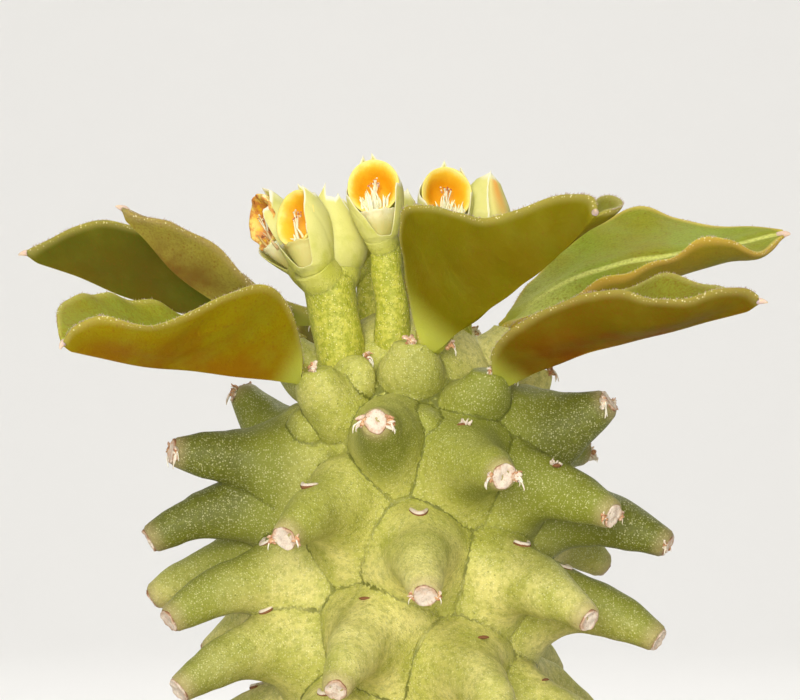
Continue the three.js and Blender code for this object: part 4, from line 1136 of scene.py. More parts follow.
@dataclass(frozen=True)
class LeafSkin:
    """Velvety leaf: its upper face, its underside, the warm stain on that, its margin and its midrib."""

    upper: Colour
    under: Colour
    warm: Colour
    stain: float
    margin: Colour = (0.42, 0.37, 0.10)
    rib: Colour = (0.50, 0.53, 0.13)
    edge_highlight: Colour = (0.78, 0.72, 0.42)
    foot: Colour = (0.36, 0.37, 0.050)
    point: Colour = (0.66, 0.47, 0.38)
    fleck: Colour = (0.20, 0.065, 0.010)

    def material(self, name: str) -> bpy.types.Material:
        """Each face's colour with blotches and reddish flecks, velvety grain and light through the blade."""
        mix = Recipe(name)
        cloud = mix.noise(8.0, 4.0, 0.6)
        grain = mix.noise(0.24, 3.0, 0.7)
        edge, rib = mix.value("edge"), mix.value("rib")
        warm = mix.times(mix.span(cloud, 0.36, 0.62), self.stain)
        warm = mix.times(warm, mix.span(edge, 0.6, 4.5, 0.25, 1.0))
        warm = mix.times(warm, mix.span(mix.value("along"), 0.02, 0.22))
        under = mix.mix(warm, self.under, self.warm)
        upper = mix.over(self.upper, self.under, cloud, 0.38, 0.7, 0.0, 0.55)
        # Painted light: the upper face lighter towards the foot.
        upper = mix.over(upper, self.rib, mix.value("along"), 0.42, 0.06, 0.0, 0.8)
        upper = mix.over(upper, self.rib, rib, 0.50, 0.15, 0.0, 0.85)
        colour = mix.mix(mix.value("inside"), under, upper)
        fleck, _ = mix.specks(0.36, (0.45, 0.18), (0.45, 0.9))
        colour = mix.mix(mix.times(fleck, 0.45 * self.stain), colour, self.fleck)
        colour = mix.over(colour, self.warm, grain, 0.40, 0.66, 0.0, 0.40)
        patch = mix.noise(3.5, 3.0, 0.6)
        colour = mix.over(colour, self.upper, patch, 0.42, 0.72, 0.0, 0.14)
        colour = mix.over(colour, self.foot, mix.value("along"), 0.16, 0.03)
        colour = mix.over(colour, self.margin, edge, 1.0, 0.05, 0.0, 0.5)
        # Painted highlights: pale beads on the minute hairs along the margins.
        edge_highlight, _ = mix.specks(0.26, (0.42, 0.16), (0.3, 0.8))
        colour = mix.mix(mix.times(edge_highlight, mix.span(edge, 0.42, 0.16, 0.0, 0.85)), colour, self.edge_highlight)
        colour = mix.mix(mix.value("point"), colour, self.point)
        mix.colour(colour)
        mix.plain(Roughness=0.62, Subsurface_Weight=0.4, Subsurface_Scale=0.0014, Specular_IOR_Level=0.06,
                  Subsurface_Radius=(1.0, 0.8, 0.08))
        mix.relief((grain, 0.06), (mix.noise(1.3, 2.0, 0.5), 0.10))
        return mix.material


LEAF_SKINS = {
    Tone.OLIVE: LeafSkin((0.24, 0.25, 0.024), (0.150, 0.132, 0.0008), (0.160, 0.106, 0.0008), 0.7),
    Tone.AMBER: LeafSkin((0.24, 0.25, 0.022), (0.132, 0.096, 0.0008), (0.165, 0.052, 0.0008), 1.0),
    Tone.GOLDEN: LeafSkin((0.27, 0.31, 0.030), (0.250, 0.205, 0.001), (0.240, 0.105, 0.001), 0.9),
    # Painted light in part: FRESH's orange margin and pale rib are lighter than their own tone where its
    # margin and foot lie in shade.
    Tone.FRESH: LeafSkin((0.25, 0.31, 0.026), (0.260, 0.180, 0.010), (0.150, 0.140, 0.005), 0.9,
                         margin=(0.72, 0.48, 0.11), rib=(0.66, 0.68, 0.17)),
    # Painted shade: the olive skin darkened for a leaf that lies in shade.
    Tone.DEEP: LeafSkin((0.20, 0.21, 0.020), (0.090, 0.101, 0.004), (0.120, 0.072, 0.003), 0.6),
    Tone.DUSKY: LeafSkin((0.25, 0.195, 0.022), (0.310, 0.270, 0.040), (0.165, 0.090, 0.012), 1.0,
                         (0.36, 0.27, 0.12)),
}
Line = tuple[Point, ...]


@dataclass(frozen=True)
class Leaf:
    """A fleshy leaf folded along its midrib, by its midrib and its margins from foot to tip.

    Right and left are those of someone at the leaf's foot who looks along it. Its sags are in that order too.
    """

    name: str
    tone: Tone
    sag: Pair
    point: Point
    midrib: Line
    right: Line
    left: Line
    rows: int = 84
    half_columns: int = 17
    midrib_half: float = 0.60
    margin_half: float = 0.26
    foot_half: float = 0.95
    foot_share: float = 0.14
    sunk: float = 0.9
    point_length: float = 0.85
    hairs: int = 560

    def grid(self) -> tuple[np.ndarray, ...]:
        """The blade's middle surface, its shares along and across, and its distances from midrib and margin.

        A point lies between the midrib and a margin by its share across, and sags below that chord by half a
        sine wave across times half a sine wave along. The margins also wave a little.
        """
        along = np.concatenate([[0.0], np.linspace(0, 1, self.rows)**0.95 * 0.992])
        half = (1 - np.cos(np.linspace(0, np.pi, self.half_columns))) / 2
        across = np.concatenate([-half[::-1], half[1:]])
        middle, right, left = (spline(np.array(line), along) for line in (self.midrib, self.right, self.left))
        ahead = unit(np.gradient(spline(np.array(self.midrib), np.linspace(0, 1, 200)), axis=0))
        ahead = ahead[np.round(along * 199).astype(int)]
        margins = np.where(across[None, :, None] < 0, right[:, None], left[:, None])
        hand = np.where(across < 0, -1.0, 1.0)[None, :, None]
        down = unit(np.cross(margins - middle[:, None], ahead[:, None]) * hand)
        share = np.abs(across)[None, :]
        sags = np.where(across < 0, self.sag[0], self.sag[1])[None, :]
        sag = sags * np.sin(np.pi * share) * np.sin(np.pi * along)[:, None]
        at = middle[:, None] + (margins - middle[:, None]) * share[..., None] + down * sag[..., None]
        seed = sum(map(ord, self.name))
        wave = 0.28 * share**3 * ripple(at, 4.5, seed) + 0.12 * ripple(at, 6.0, seed + 1)
        at = at + down * (wave * np.sin(np.pi * np.clip(along * 1.02, 0, 1))[:, None])[..., None]
        at[0] -= ahead[0] * self.sunk
        width = np.linalg.norm(margins - middle[:, None], axis=-1)
        return at, along, across, width * share, width * (1 - share)

    def blade(self) -> Surface:
        """The blade between its two faces, grooved above the midrib and keeled below it."""
        at, along, across, from_rib, from_edge = self.grid()
        aside = np.gradient(at, axis=1)
        ahead = np.gradient(at[1:], axis=0)
        ahead = np.concatenate([ahead[:1], ahead])
        normal = unit(np.cross(aside, ahead))
        half_count = len(across) // 2
        fold = unit(normal[:, half_count - 6] + normal[:, half_count + 6])[:, None]
        turning = np.clip(from_rib / 1.2, 0, 1)[..., None]
        normal = unit(fold * (1 - turning) + normal * turning)
        share = np.abs(across)[None, :]
        body = self.midrib_half + (self.margin_half - self.midrib_half) * share**0.8
        foot = np.clip(along / self.foot_share, 0, 1)[:, None]**0.7
        half = self.foot_half + (body - self.foot_half) * foot
        half = half * np.sqrt(np.clip(1 - share**8, 0.05, 1))
        half = half * np.clip((1.012 - along) / 0.06, 0.25, 1)[:, None]
        groove = 0.20 * np.exp(-(from_rib / 0.45)**2) * foot
        keel = 0.24 * np.exp(-(from_rib / 0.60)**2) * foot
        under = at + normal * (half + keel)[..., None]
        upper = at - normal * ((half - groove) * (0.35 + 0.65 * turning[..., 0]))[..., None]
        zeros = np.zeros_like(from_edge)
        reached = zeros + along[:, None]
        return slab(upper, under, {
            "inside": (zeros + 1, zeros), "edge": (from_edge, from_edge), "rib": (from_rib, from_rib),
            "point": (zeros, zeros), "along": (reached, reached)})

    def tip_point(self) -> Surface:
        """The small hard point at the tip, which bends to its own direction."""
        t = np.linspace(0, 1, 14)[:, None]
        ends = spline(np.array(self.midrib), np.array([0.972, 1.0]))
        way = unit(np.array(self.point))
        out = ends[1] + way * self.point_length
        line = bent(t, ends[0], ends[1] + 0.15 * way, out)
        widths = np.interp(t[:, 0], [0, 0.35, 0.6, 0.85, 1], [0.28, 0.34, 0.26, 0.15, 0.04])
        return tagged(strand(line, widths, 12), inside=0, edge=2, rib=2, point=1, along=1)

    def frost(self) -> Surface:
        """Minute pale hairs along the margins."""
        at, _, across, _, _ = self.grid()
        random = np.random.default_rng(sum(map(ord, self.name)) + 7)
        rows = len(at) - 3
        row = random.integers(2, rows, self.hairs)
        side = random.choice([0, len(across) - 1], self.hairs)
        inner = np.where(side == 0, 2, len(across) - 3)
        blend = random.uniform(0, 1, (self.hairs, 1))
        feet = at[row, side] * (1 - blend) + at[np.minimum(row + 1, rows), side] * blend
        ways = unit(at[row, side] - at[row, inner]) + random.normal(size=(self.hairs, 3)) * 0.45
        hairs = bristles(feet, ways, random.uniform(0.14, 0.34, self.hairs), 0.03)
        return tagged(hairs, inside=0, edge=2, rib=2, point=0.8, along=1)

    def build(self) -> None:
        """Makes the leaf with its point and its hairs."""
        whole = Surface.joined([self.blade(), self.tip_point(), self.frost()])
        material = LEAF_SKINS[self.tone].material(f"{self.name}_skin")
        finished(mesh_of(f"{self.name}_blade", whole), material, "leaf", self.name)


LEAVES = (
    Leaf("leaf_front", Tone.OLIVE, (0.9, 0.8), (-0.25, -0.95, 0.1),
        midrib=(
            (2.3, -9.9, 135.8), (4.6, -13, 137.9), (7.1, -16, 139.7), (9.8, -19, 141.8), (12.5, -22, 143.9),
            (14.7, -25, 146.0), (16.5, -28, 147.6)),
        right=(
            (0.6, -10, 136.3), (-0.1, -9.6, 140.7), (-0.8, -10.6, 145.5), (-0.6, -12.6, 148.4),
            (2.4, -16, 148.4), (5.6, -19.4, 147.5), (8.9, -22.1, 147.8), (12.2, -24.4, 148.9),
            (14.6, -26.3, 149.2), (16.1, -27.5, 148.9), (16.6, -28.2, 147.8)),
        left=(
            (3.3, -9.5, 135.8), (4.2, -8.7, 139.2), (5.5, -8.1, 143.7), (7.8, -8.7, 146.7),
            (10.2, -10.5, 147.9), (12.3, -12.7, 148.3), (14.4, -15.4, 148.6), (16.5, -18.5, 148.9),
            (18.4, -22.4, 149.2), (18.8, -25.9, 148.2), (17.0, -28, 147.5))),
    Leaf("leaf_front_right", Tone.AMBER, (1.0, 0.6), (0.9, -0.3, -0.35),
        midrib=(
            (8.4, -10.2, 132.6), (11.6, -12.3, 134.1), (15.3, -14.4, 135.5), (19.3, -16.3, 136.7),
            (23.2, -17.9, 137.7), (27.3, -19.3, 138.8), (31.5, -20.6, 139.9)),
        right=(
            (7.7, -11, 133.2), (7.5, -13.4, 135.1), (9.1, -16.8, 137.2), (12.1, -19.4, 139.1),
            (15.5, -21.2, 140.4), (18.8, -22.2, 140.7), (21.7, -22.5, 140), (24.6, -22.7, 140.2),
            (27.4, -22.4, 140.9), (30, -21.6, 141), (31.5, -20.8, 140.2)),
        left=(
            (9.2, -9.4, 132.8), (11, -7.6, 135.3), (13.4, -7.3, 137.8), (16, -8, 139.7), (18.7, -9, 140.9),
            (21.3, -10.2, 141.8), (23.7, -11.7, 142.4), (26.2, -13.7, 141.7), (28.6, -16.1, 141),
            (30.4, -18.4, 140.5), (31.5, -20.4, 140.1))),
    Leaf("leaf_right", Tone.FRESH, (2.3, 0.6), (0.95, -0.1, -0.25),
        midrib=(
            (9.5, 0.3, 137.5), (12.4, 0.6, 140.3), (16.5, 0.9, 142.3), (20.7, 1.1, 143.6),
            (25.5, 1.2, 144.4), (30.8, 0.9, 145.2), (35.8, 0.3, 146.5)),
        right=(
            (9.1, -0.6, 137.1), (10.2, -3.2, 138.1), (12.3, -5, 139), (14.9, -6.3, 140.1),
            (17.8, -7.1, 141.5), (20.7, -7.4, 142.8), (23.8, -7.5, 144.2), (27, -7.3, 145.4),
            (29.8, -6.6, 145.8), (33.0, -4.0, 144.5), (35.7, 0, 146.4)),
        left=(
            (9.2, 1.2, 138), (9.9, 3.7, 139.4), (11.1, 6.4, 141.1), (13.1, 8.6, 143.4),
            (16.1, 10.3, 146.2), (19.8, 11.2, 148.6), (22.9, 11.1, 149), (26, 10.1, 148.2),
            (29.4, 7.9, 147.4), (32.8, 4.6, 147.2), (35.8, 0.6, 146.8)),
        point_length=0.5),
    Leaf("leaf_front_left", Tone.GOLDEN, (0.7, 0.4), (-0.1, -0.3, -0.95),
        midrib=(
            (-10.2, -9.6, 133.0), (-13.6, -11.9, 133.4), (-17.3, -14.1, 133.8), (-21.1, -16.3, 134.3),
            (-24.8, -18.4, 134.8), (-28.2, -20.3, 135.5), (-31.4, -22.2, 136.2)),
        left=(
            (-9.9, -10.4, 133.7), (-10.2, -12.2, 136.3), (-11.2, -15.2, 139.4), (-13, -18.2, 141.2),
            (-16.1, -20.6, 140.6), (-19.5, -22.6, 138.9), (-22.5, -23.8, 137.6), (-25.2, -24.2, 137.8),
            (-28, -24.1, 138.2), (-30.2, -23.4, 137.5), (-31.3, -22.4, 136.1)),
        right=(
            (-10.5, -8.8, 132.7), (-12.7, -7.1, 134.9), (-15.1, -5.9, 137), (-17.7, -5.4, 138.5),
            (-20.5, -5.6, 138.7), (-23.1, -6.7, 139.2), (-25.6, -8.7, 139.9), (-28.1, -11.4, 140.6),
            (-30.1, -14.6, 140.4), (-32, -18.2, 139.2), (-31.7, -21.8, 136.7))),
    Leaf("leaf_left", Tone.DUSKY, (0.5, 0.0), (-0.97, -0.1, 0.1),
        midrib=(
            (-11.1, -1, 136.4), (-13.8, -1.7, 137.9), (-16.6, -2.3, 139.5), (-19.5, -2.7, 141.5),
            (-22.1, -3, 143.6), (-24.6, -3.3, 146.5), (-27.0, -3.5, 148.8)),
        left=(
            (-11, -1.9, 136.6), (-11.6, -3.6, 138.3), (-12.8, -4.9, 140), (-14.6, -5.8, 141.7),
            (-16.3, -6.2, 143.1), (-18.1, -6.4, 144.7), (-20.2, -6.3, 146.2), (-22, -6, 147.2),
            (-23.8, -5.4, 147.7), (-25.6, -4.6, 148.1), (-27.3, -3.7, 148.9)),
        right=(
            (-11.4, -0.2, 136.6), (-11.9, 0.5, 138), (-13.1, 1.1, 139.6), (-15, 1.6, 141.5),
            (-16.8, 1.9, 143), (-18.7, 2, 144.6), (-20.8, 1.8, 146), (-22.5, 1.3, 147),
            (-24.2, 0.1, 147.6), (-25.8, -1.5, 148.1), (-27.3, -3.2, 148.8))),
    Leaf("leaf_back_left", Tone.DEEP, (0.6, 0.0), (-0.8, 0.2, -0.5),
        midrib=(
            (-8.5, 5.1, 138.6), (-13.2, 7.5, 138.5), (-18.1, 9.3, 139.0), (-23.1, 10.7, 139.9),
            (-27.9, 11.8, 141.3), (-32.8, 12.6, 143.4), (-37.8, 13.1, 145.1)),
        left=(
            (-8.4, 4.4, 138.8), (-10.3, 4.9, 139.5), (-13.3, 5.2, 140.8), (-16.3, 5, 142.8),
            (-19.1, 4.8, 144.6), (-22, 5, 146), (-25.2, 5.6, 146.9), (-29.3, 7.2, 147.8),
            (-32.7, 9.4, 147.3), (-35.4, 11.4, 146.1), (-37.8, 12.9, 145.1)),
        right=(
            (-8.8, 6.1, 138.6), (-10.9, 8.5, 139.4), (-14, 11.5, 140.8), (-17.2, 14.3, 142.4),
            (-20.3, 16.6, 143.7), (-23.5, 18.1, 144.5), (-26.7, 18.9, 145.2), (-29.9, 18.8, 145.8),
            (-32.6, 17.5, 145.9), (-35.3, 15.6, 145.6), (-37.8, 13.3, 145))),
    Leaf("leaf_back_young", Tone.FRESH, (0.5, 0.5), (0, 0.9, 0.3),
        midrib=(
            (1.2, 8.6, 138.6), (1.5, 10.9, 140.8), (1.9, 13.2, 142.9), (2.2, 15.7, 144.9),
            (2.6, 18.2, 146.7), (2.9, 20.8, 148.5), (3.3, 23.5, 150.1)),
        right=(
            (2.3, 7.6, 139.4), (2.9, 8.6, 141.1), (4.1, 9.3, 143.1), (5, 10.4, 144.7), (5.6, 11.7, 146.1),
            (5.9, 13.1, 147.5), (5.9, 14.6, 148.8), (5.6, 16.5, 149.8), (5.1, 18.6, 150.2),
            (4.4, 21, 150.3), (3.5, 23.4, 150.3)),
        left=(
            (-0.2, 8, 139.4), (-0.4, 9.2, 140.9), (-1.3, 10.3, 142.9), (-1.9, 11.3, 144.7),
            (-2.2, 12.5, 146.5), (-2.1, 13.8, 148), (-1.6, 15.6, 149), (-0.8, 17.6, 149.5),
            (0.3, 19.6, 149.8), (1.6, 21.5, 150.2), (3.1, 23.4, 150.3))),
    Leaf("leaf_back_low", Tone.OLIVE, (0.8, 0.8), (0, 0.8, -0.6),
        midrib=(
            (-1.8, 13.1, 134.1), (-2.3, 17.4, 134.2), (-2.7, 21.7, 134), (-3.2, 26, 133.6),
            (-3.6, 30.3, 133.1), (-4.1, 34.5, 132.3), (-4.5, 38.7, 131.4)),
        right=(
            (-0.4, 13.2, 134.9), (1.3, 16, 135.8), (3.2, 18.9, 136.8), (4.5, 21.8, 138.1),
            (5.1, 24.7, 139.3), (5, 27.5, 139.5), (4.3, 30, 138.3), (2.9, 32.4, 136.4), (1, 34.6, 134.8),
            (-1.4, 36.8, 133.4), (-4.3, 38.8, 131.5)),
        left=(
            (-3.3, 12.9, 134.9), (-5.5, 15.3, 136.2), (-8, 17.7, 138), (-9.8, 20.3, 139),
            (-11, 22.9, 138.7), (-11.5, 25.5, 137.7), (-11.3, 28.2, 136.8), (-10.5, 31, 136.4),
            (-9.1, 33.7, 135.7), (-7.2, 36.3, 134), (-4.8, 38.7, 131.5))),
)


@dataclass(frozen=True)
class BractSkin:
    """Bracts and stalks: pale cream-green cups with whitish teeth on granular yellow-green stalks."""

    cup: Colour = (0.64, 0.61, 0.20)
    shade: Colour = (0.47, 0.47, 0.070)
    margin: Colour = (0.92, 0.88, 0.66)
    flush: Colour = (0.80, 0.36, 0.06)
    stalk: Colour = (0.53, 0.51, 0.075)
    grain: Colour = (0.33, 0.35, 0.028)
    speck: Colour = (0.84, 0.80, 0.34)

    def material(self) -> bpy.types.Material:
        """Smooth and pale on the cups, greener at their feet, grainy on stalks, whitish at the margins."""
        mix = Recipe("bract_skin")
        cloud = mix.noise(2.2, 4.0, 0.6)
        speck, from_speck = mix.specks(0.22, (0.42, 0.12), (0.2, 0.9))
        low = mix.value("stalk")
        green = mix.plus(mix.span(cloud, 0.42, 0.72, 0.0, 0.45), mix.times(low, 0.9))
        cup = mix.over(self.cup, self.shade, green, 0.0, 0.95)
        stalk = mix.over(self.stalk, self.grain, mix.noise(0.5, 3.0, 0.65), 0.36, 0.62)
        stalk = mix.mix(mix.times(speck, 0.75), stalk, self.speck)
        colour = mix.over(cup, stalk, low, 0.55, 0.9)
        colour = mix.over(colour, self.margin, mix.value("edge"), 0.55, 0.1, 0.0, 0.85)
        colour = mix.mix(mix.value("flush"), colour, self.flush)
        mix.colour(colour)
        mix.plain(Roughness=0.5, Subsurface_Weight=0.3, Subsurface_Scale=0.0010, Specular_IOR_Level=0.3,
                  Subsurface_Radius=(1.0, 0.9, 0.3))
        bumps = mix.times(mix.span(from_speck, 0.6, 0.1), mix.span(low, 0.1, 0.9, 0.1, 1.0))
        mix.relief((bumps, 0.05), (cloud, 0.08))
        return mix.material


@dataclass(frozen=True)
class GlandSkin:
    """The waxy hood: a wide pale yellow band at the rim, orange-yellow inside, browner where it wilted."""

    orange: Colour = (0.74, 0.33, 0.004)
    yellow: Colour = (0.84, 0.52, 0.030)
    rim: Colour = (0.82, 0.66, 0.17)
    wilted: Colour = (0.62, 0.25, 0.05)
    burnt: Colour = (0.22, 0.07, 0.02)

    def material(self) -> bpy.types.Material:
        """Colour by depth into the hood and height in it, blotched brown where the mesh says it wilted."""
        mix = Recipe("gland_skin")
        cloud = mix.noise(1.0, 4.0, 0.65)
        depth = mix.plus(mix.value("depth"), mix.span(cloud, 0.3, 0.7, -0.07, 0.07))
        deep = mix.times(mix.span(depth, 0.22, 0.8), mix.span(mix.value("high"), -0.8, 0.4, 0.4, 1.0))
        colour = mix.mix(deep, self.yellow, self.orange)
        colour = mix.over(colour, self.rim, depth, 0.36, 0.08)
        wilt = mix.value("wilt")
        colour = mix.mix(mix.times(wilt, mix.span(cloud, 0.38, 0.58)), colour, self.wilted)
        colour = mix.mix(mix.times(wilt, mix.span(cloud, 0.60, 0.66)), colour, self.burnt)
        mix.colour(colour)
        mix.plain(Roughness=0.42, Subsurface_Weight=0.25, Subsurface_Scale=0.0008, Specular_IOR_Level=0.4,
                  Subsurface_Radius=(1.0, 0.6, 0.1))
        mix.relief((cloud, 0.07))
        return mix.material


@dataclass(frozen=True)
class PollenParts:
    """Stamens and the little cup round them: cream, with red-brown anthers."""

    cream: Colour = (0.92, 0.87, 0.62)
    olive: Colour = (0.55, 0.49, 0.15)
    anther: Colour = (0.46, 0.10, 0.03)

    def material(self) -> bpy.types.Material:
        """Cream, olive low in the little cup, or anther-coloured where the mesh says so."""
        mix = Recipe("pollen_parts")
        grain = mix.noise(0.4, 3.0, 0.6)
        # Olive low in the little cup, and up its panel where the panel value paints shade.
        colour = mix.over(self.cream, self.olive, mix.value("low"), 0.0, 1.0)
        colour = mix.over(colour, self.olive, grain, 0.4, 0.7, 0.0, 0.3)
        mix.colour(mix.mix(mix.value("anther"), colour, self.anther))
        mix.plain(Roughness=0.55, Subsurface_Weight=0.25, Subsurface_Scale=0.0006)
        mix.relief((grain, 0.04))
        return mix.material


BRACT = BractSkin().material()
GLAND = GlandSkin().material()
# The rim of a cup without its teeth, by angle from the front in degrees and height in millimetres.
RIM = (
    (-180, 7.3), (-140, 7.1), (-112, 6.1), (-86, 5.3), (-58, 4.7), (-42, 3.7), (-27, 2.8), (-16, 1.8),
    (-5, 1.05), (8, 0.82), (33, 0.85), (41, 1.15), (45, 2.2), (49, 4.0), (54, 5.6), (62, 6.5), (90, 6.9),
    (118, 7.1), (150, 7.2), (180, 7.3))


@dataclass(frozen=True)
class Cup:
    """One flower cup: its foot, the azimuth and angle of its lean, the azimuth that it faces and its size."""

    name: str
    foot: Point
    lean: Pair
    face: float
    size: float
    neck: float = 1.4
    wilt: float = 0.0
    height: float = 8.1
    radius: float = 2.65
    belly: float = 0.58
    top_pinch: float = 0.42
    wall: float = 0.20
    mouth: float = 1.0
    drops: Pair = (0.0, 1.4)
    # How far the olive of the little cup spreads up its panel: painted shade.
    panel: float = 0.0
    brush: int = 46
    teeth: Pair = (-150.0, 174.0)
    tooth: float = 1.15
    hood_tilt: float = 22.0
    anthers: int = 18

    def axes(self) -> tuple[np.ndarray, np.ndarray, np.ndarray]:
        """The directions along the cup, to its front and to its side."""
        azimuth, angle = self.lean
        turn = math.radians(angle)
        axis = UP * math.cos(turn) + outward(azimuth) * math.sin(turn)
        front = outward(self.face)
        front = unit(front - axis * (front @ axis))
        return axis, front, np.cross(axis, front)

    def radius_at(self, height: np.ndarray) -> np.ndarray:
        """The cup's radius by height: a narrow neck, a full belly and a top that draws in."""
        share = height / self.height
        swelling = np.sin(np.pi / 2 * np.clip(share / self.belly, 0, 1))**1.1
        pinch = 1 - self.top_pinch * np.clip((share - self.belly) / (1 - self.belly), 0, None)**1.6
        return (self.neck + (self.radius - self.neck) * swelling) * pinch

    def place(self, height: np.ndarray, radius: np.ndarray, angle: np.ndarray) -> np.ndarray:
        """Points of the cup in its own directions.

        Args:
            height: Heights along its axis, before it is scaled.
            radius: Distances from its axis.
            angle: Angles from its front, in radians.

        Returns:
            A point for each of them.
        """
        axis, front, side = self.axes()
        flat = np.cos(angle)[..., None] * front + np.sin(angle)[..., None] * side
        return np.array(self.foot) + self.size * (height[..., None] * axis + radius[..., None] * flat)

    def round_angles(self) -> np.ndarray:
        """Angles round a cup in degrees, closer together at the slot and at the teeth."""
        near_teeth = [np.arange(-20.0, 20.1, 2.5) + tooth for tooth in self.teeth]
        found = np.concatenate([
            np.arange(-180, 180, 5.0), np.arange(-88, 0, 2.0), np.arange(34, 60, 1.5), *near_teeth])
        return np.unique(np.round((found + 180) % 360 - 180, 2))

    def rim(self, angles: np.ndarray) -> np.ndarray:
        """The rim's height by angle in degrees: a slot in front, an arch behind and two pointed teeth.

        Args:
            angles: Angles from the front.

        Returns:
            The height at each, before the cup is scaled.
        """
        apart = [np.abs((angles - tooth + 180) % 360 - 180) for tooth in self.teeth]
        teeth = sum(self.tooth * np.clip(1 - gap / 20, 0, 1) for gap in apart)
        left, right = self.drops
        lowered = left * np.exp(-((angles + 80) / 32)**2) + right * np.exp(-((angles - 78) / 28)**2)
        return np.interp(angles, *np.transpose(RIM)) + teeth - lowered

    def sleeve(self) -> Surface:
        """The two bracts as one wall: outer rings from foot to rim, a rounded lip, and inner rings down."""
        degrees = self.round_angles()
        angles = np.radians(degrees)
        top = self.rim(degrees)
        up = np.linspace(0, 1, 34)[:, None]**0.85
        inside = np.linspace(1, 0.10, 22)[:, None]
        outer_height = up * top
        from_rim = (1 - up) * top
        fold = 0.05 * np.exp(-((from_rim - 1.1) / 0.13)**2) * np.exp(-((degrees + 55) / 25)**2)
        seam = 0.05 * np.exp(-((degrees - 118 + 8 * outer_height) / 5)**2)
        tucked = 0.22 * self.neck * np.clip(1 - outer_height / 0.8, 0, 1)
        outer = self.place(outer_height, self.radius_at(outer_height) - fold - seam - tucked, angles + 0 * up)
        crest = top[None] + 0.04
        ridge = self.place(crest, self.radius_at(crest) - self.wall * 0.3, angles[None])
        inner_height = np.maximum(inside * top, 0.45)
        thick = self.wall * np.clip(0.35 + (1 - inside) * top, 0.35, 1)
        inner_radius = np.maximum(self.radius_at(inner_height) - thick, 0.3)
        inner = self.place(inner_height, inner_radius, angles + 0 * inside)
        slot = np.exp(-(degrees / 62)**4)
        edge = np.vstack([from_rim, np.zeros_like(crest), (1 - inside) * top]) + 0.4 * slot
        foot = np.clip(1 - np.vstack([outer_height, crest, inner_height]) / 3.0, 0, 1) * 0.5
        values = {"edge": edge * self.size, "stalk": foot, "flush": 0 * edge}
        return tube(np.concatenate([outer, ridge, inner]), values)

    def hood(self) -> Surface:
        """The gland: a funnel whose egg-shaped rim faces forwards and up, broad above and narrow below.

        Each ring is the rim's outline shrunk by its share. A wide band slopes in gently from the lip, and
        inside it the wall falls back steeply.
        """
        axis, front, side = self.axes()
        tilt = math.radians(self.hood_tilt)
        opening = front * math.cos(tilt) + axis * math.sin(tilt)
        high = axis * math.cos(tilt) - front * math.sin(tilt)
        centre = np.array(self.foot) + self.size * (5.35 * axis + 0.62 * front + 0.04 * side)
        angles = full_turn(72)
        level = np.sin(angles)
        wide = 2.42 * np.cos(angles) * (1 - 0.04 * np.clip(-level, 0, 1)**1.5)
        tall = np.where(level > 0, 2.68, 2.62) * level

        def rings(shares: np.ndarray, backs: np.ndarray) -> np.ndarray:
            """Rings by their share of the rim's outline and how far back from it they lie."""
            flat = (wide[:, None] * side + tall[:, None] * high)[None] * shares[:, None, None]
            wrinkle = 0.05 * ripple(centre + flat, 1.6, 51) * (1 + 2 * self.wilt)
            back = opening * (backs[:, None, None] + wrinkle[..., None])
            return centre + self.size * self.mouth * (flat - back)

        outer_share = np.array([0.05, 0.35, 0.60, 0.80, 0.92, 0.98, 1.0])
        outer_back = np.array([2.15, 2.05, 1.75, 1.25, 0.65, 0.25, 0.0])
        inner_share = np.array([
            0.985, 0.95, 0.90, 0.84, 0.78, 0.72, 0.66, 0.60, 0.52, 0.42, 0.30, 0.16, 0.04])
        inner_back = np.array([
            -0.06, -0.02, 0.06, 0.17, 0.32, 0.52, 0.78, 1.05, 1.35, 1.60, 1.77, 1.86, 1.88])
        points = np.concatenate([rings(outer_share, outer_back), rings(inner_share, inner_back)])
        depth = np.concatenate([0 * outer_share, 1 - inner_share])[:, None] * 1.6 + 0 * angles
        return tube(points, {"depth": depth, "high": level + 0 * depth, "wilt": self.wilt + 0 * depth})

    def involucre(self) -> Surface:
        """The little fringed cup round the stamens, seen as a cream panel with an arched lip in the slot."""
        angles = full_turn(96)
        up = np.linspace(0, 1, 18)[:, None]
        top = 3.15 + 0.18 * np.cos(angles) + 0.05 * np.cos(14 * angles) + 0.05 * np.sin(5 * angles)
        outer_height = 0.6 + up * (top - 0.6)
        lip = 0.06 * np.exp(-((1 - up) / 0.07)**2)
        groove = 0.04 * np.exp(-((1 - up - 0.16) / 0.05)**2)
        near = self.radius_at(outer_height) - self.wall - 0.28 + 0.24 * np.exp(-(angles / 0.45)**2)
        near = near + 0.24 * np.exp(-((angles - 2 * np.pi) / 0.45)**2)
        outer = self.place(outer_height, near + lip - groove, angles + 0 * up)
        inner_height = outer_height[::-1][1:9]
        inner = self.place(inner_height, near[::-1][1:9] - 0.28, angles + 0 * inner_height)
        # Olive low in the little cup, and up its panel by the panel value, which paints shade there.
        low = np.clip(1.2 + self.panel - np.vstack([up, up[::-1][1:9]]) * 0.85, 0, 1) + 0 * angles
        return tube(np.concatenate([outer, inner]), {"anther": 0 * low, "low": low})

    def local(self, along: float, ahead: float, across: float) -> np.ndarray:
        """A point in the cup's own directions."""
        axis, front, side = self.axes()
        return np.array(self.foot) + self.size * (along * axis + ahead * front + across * side)

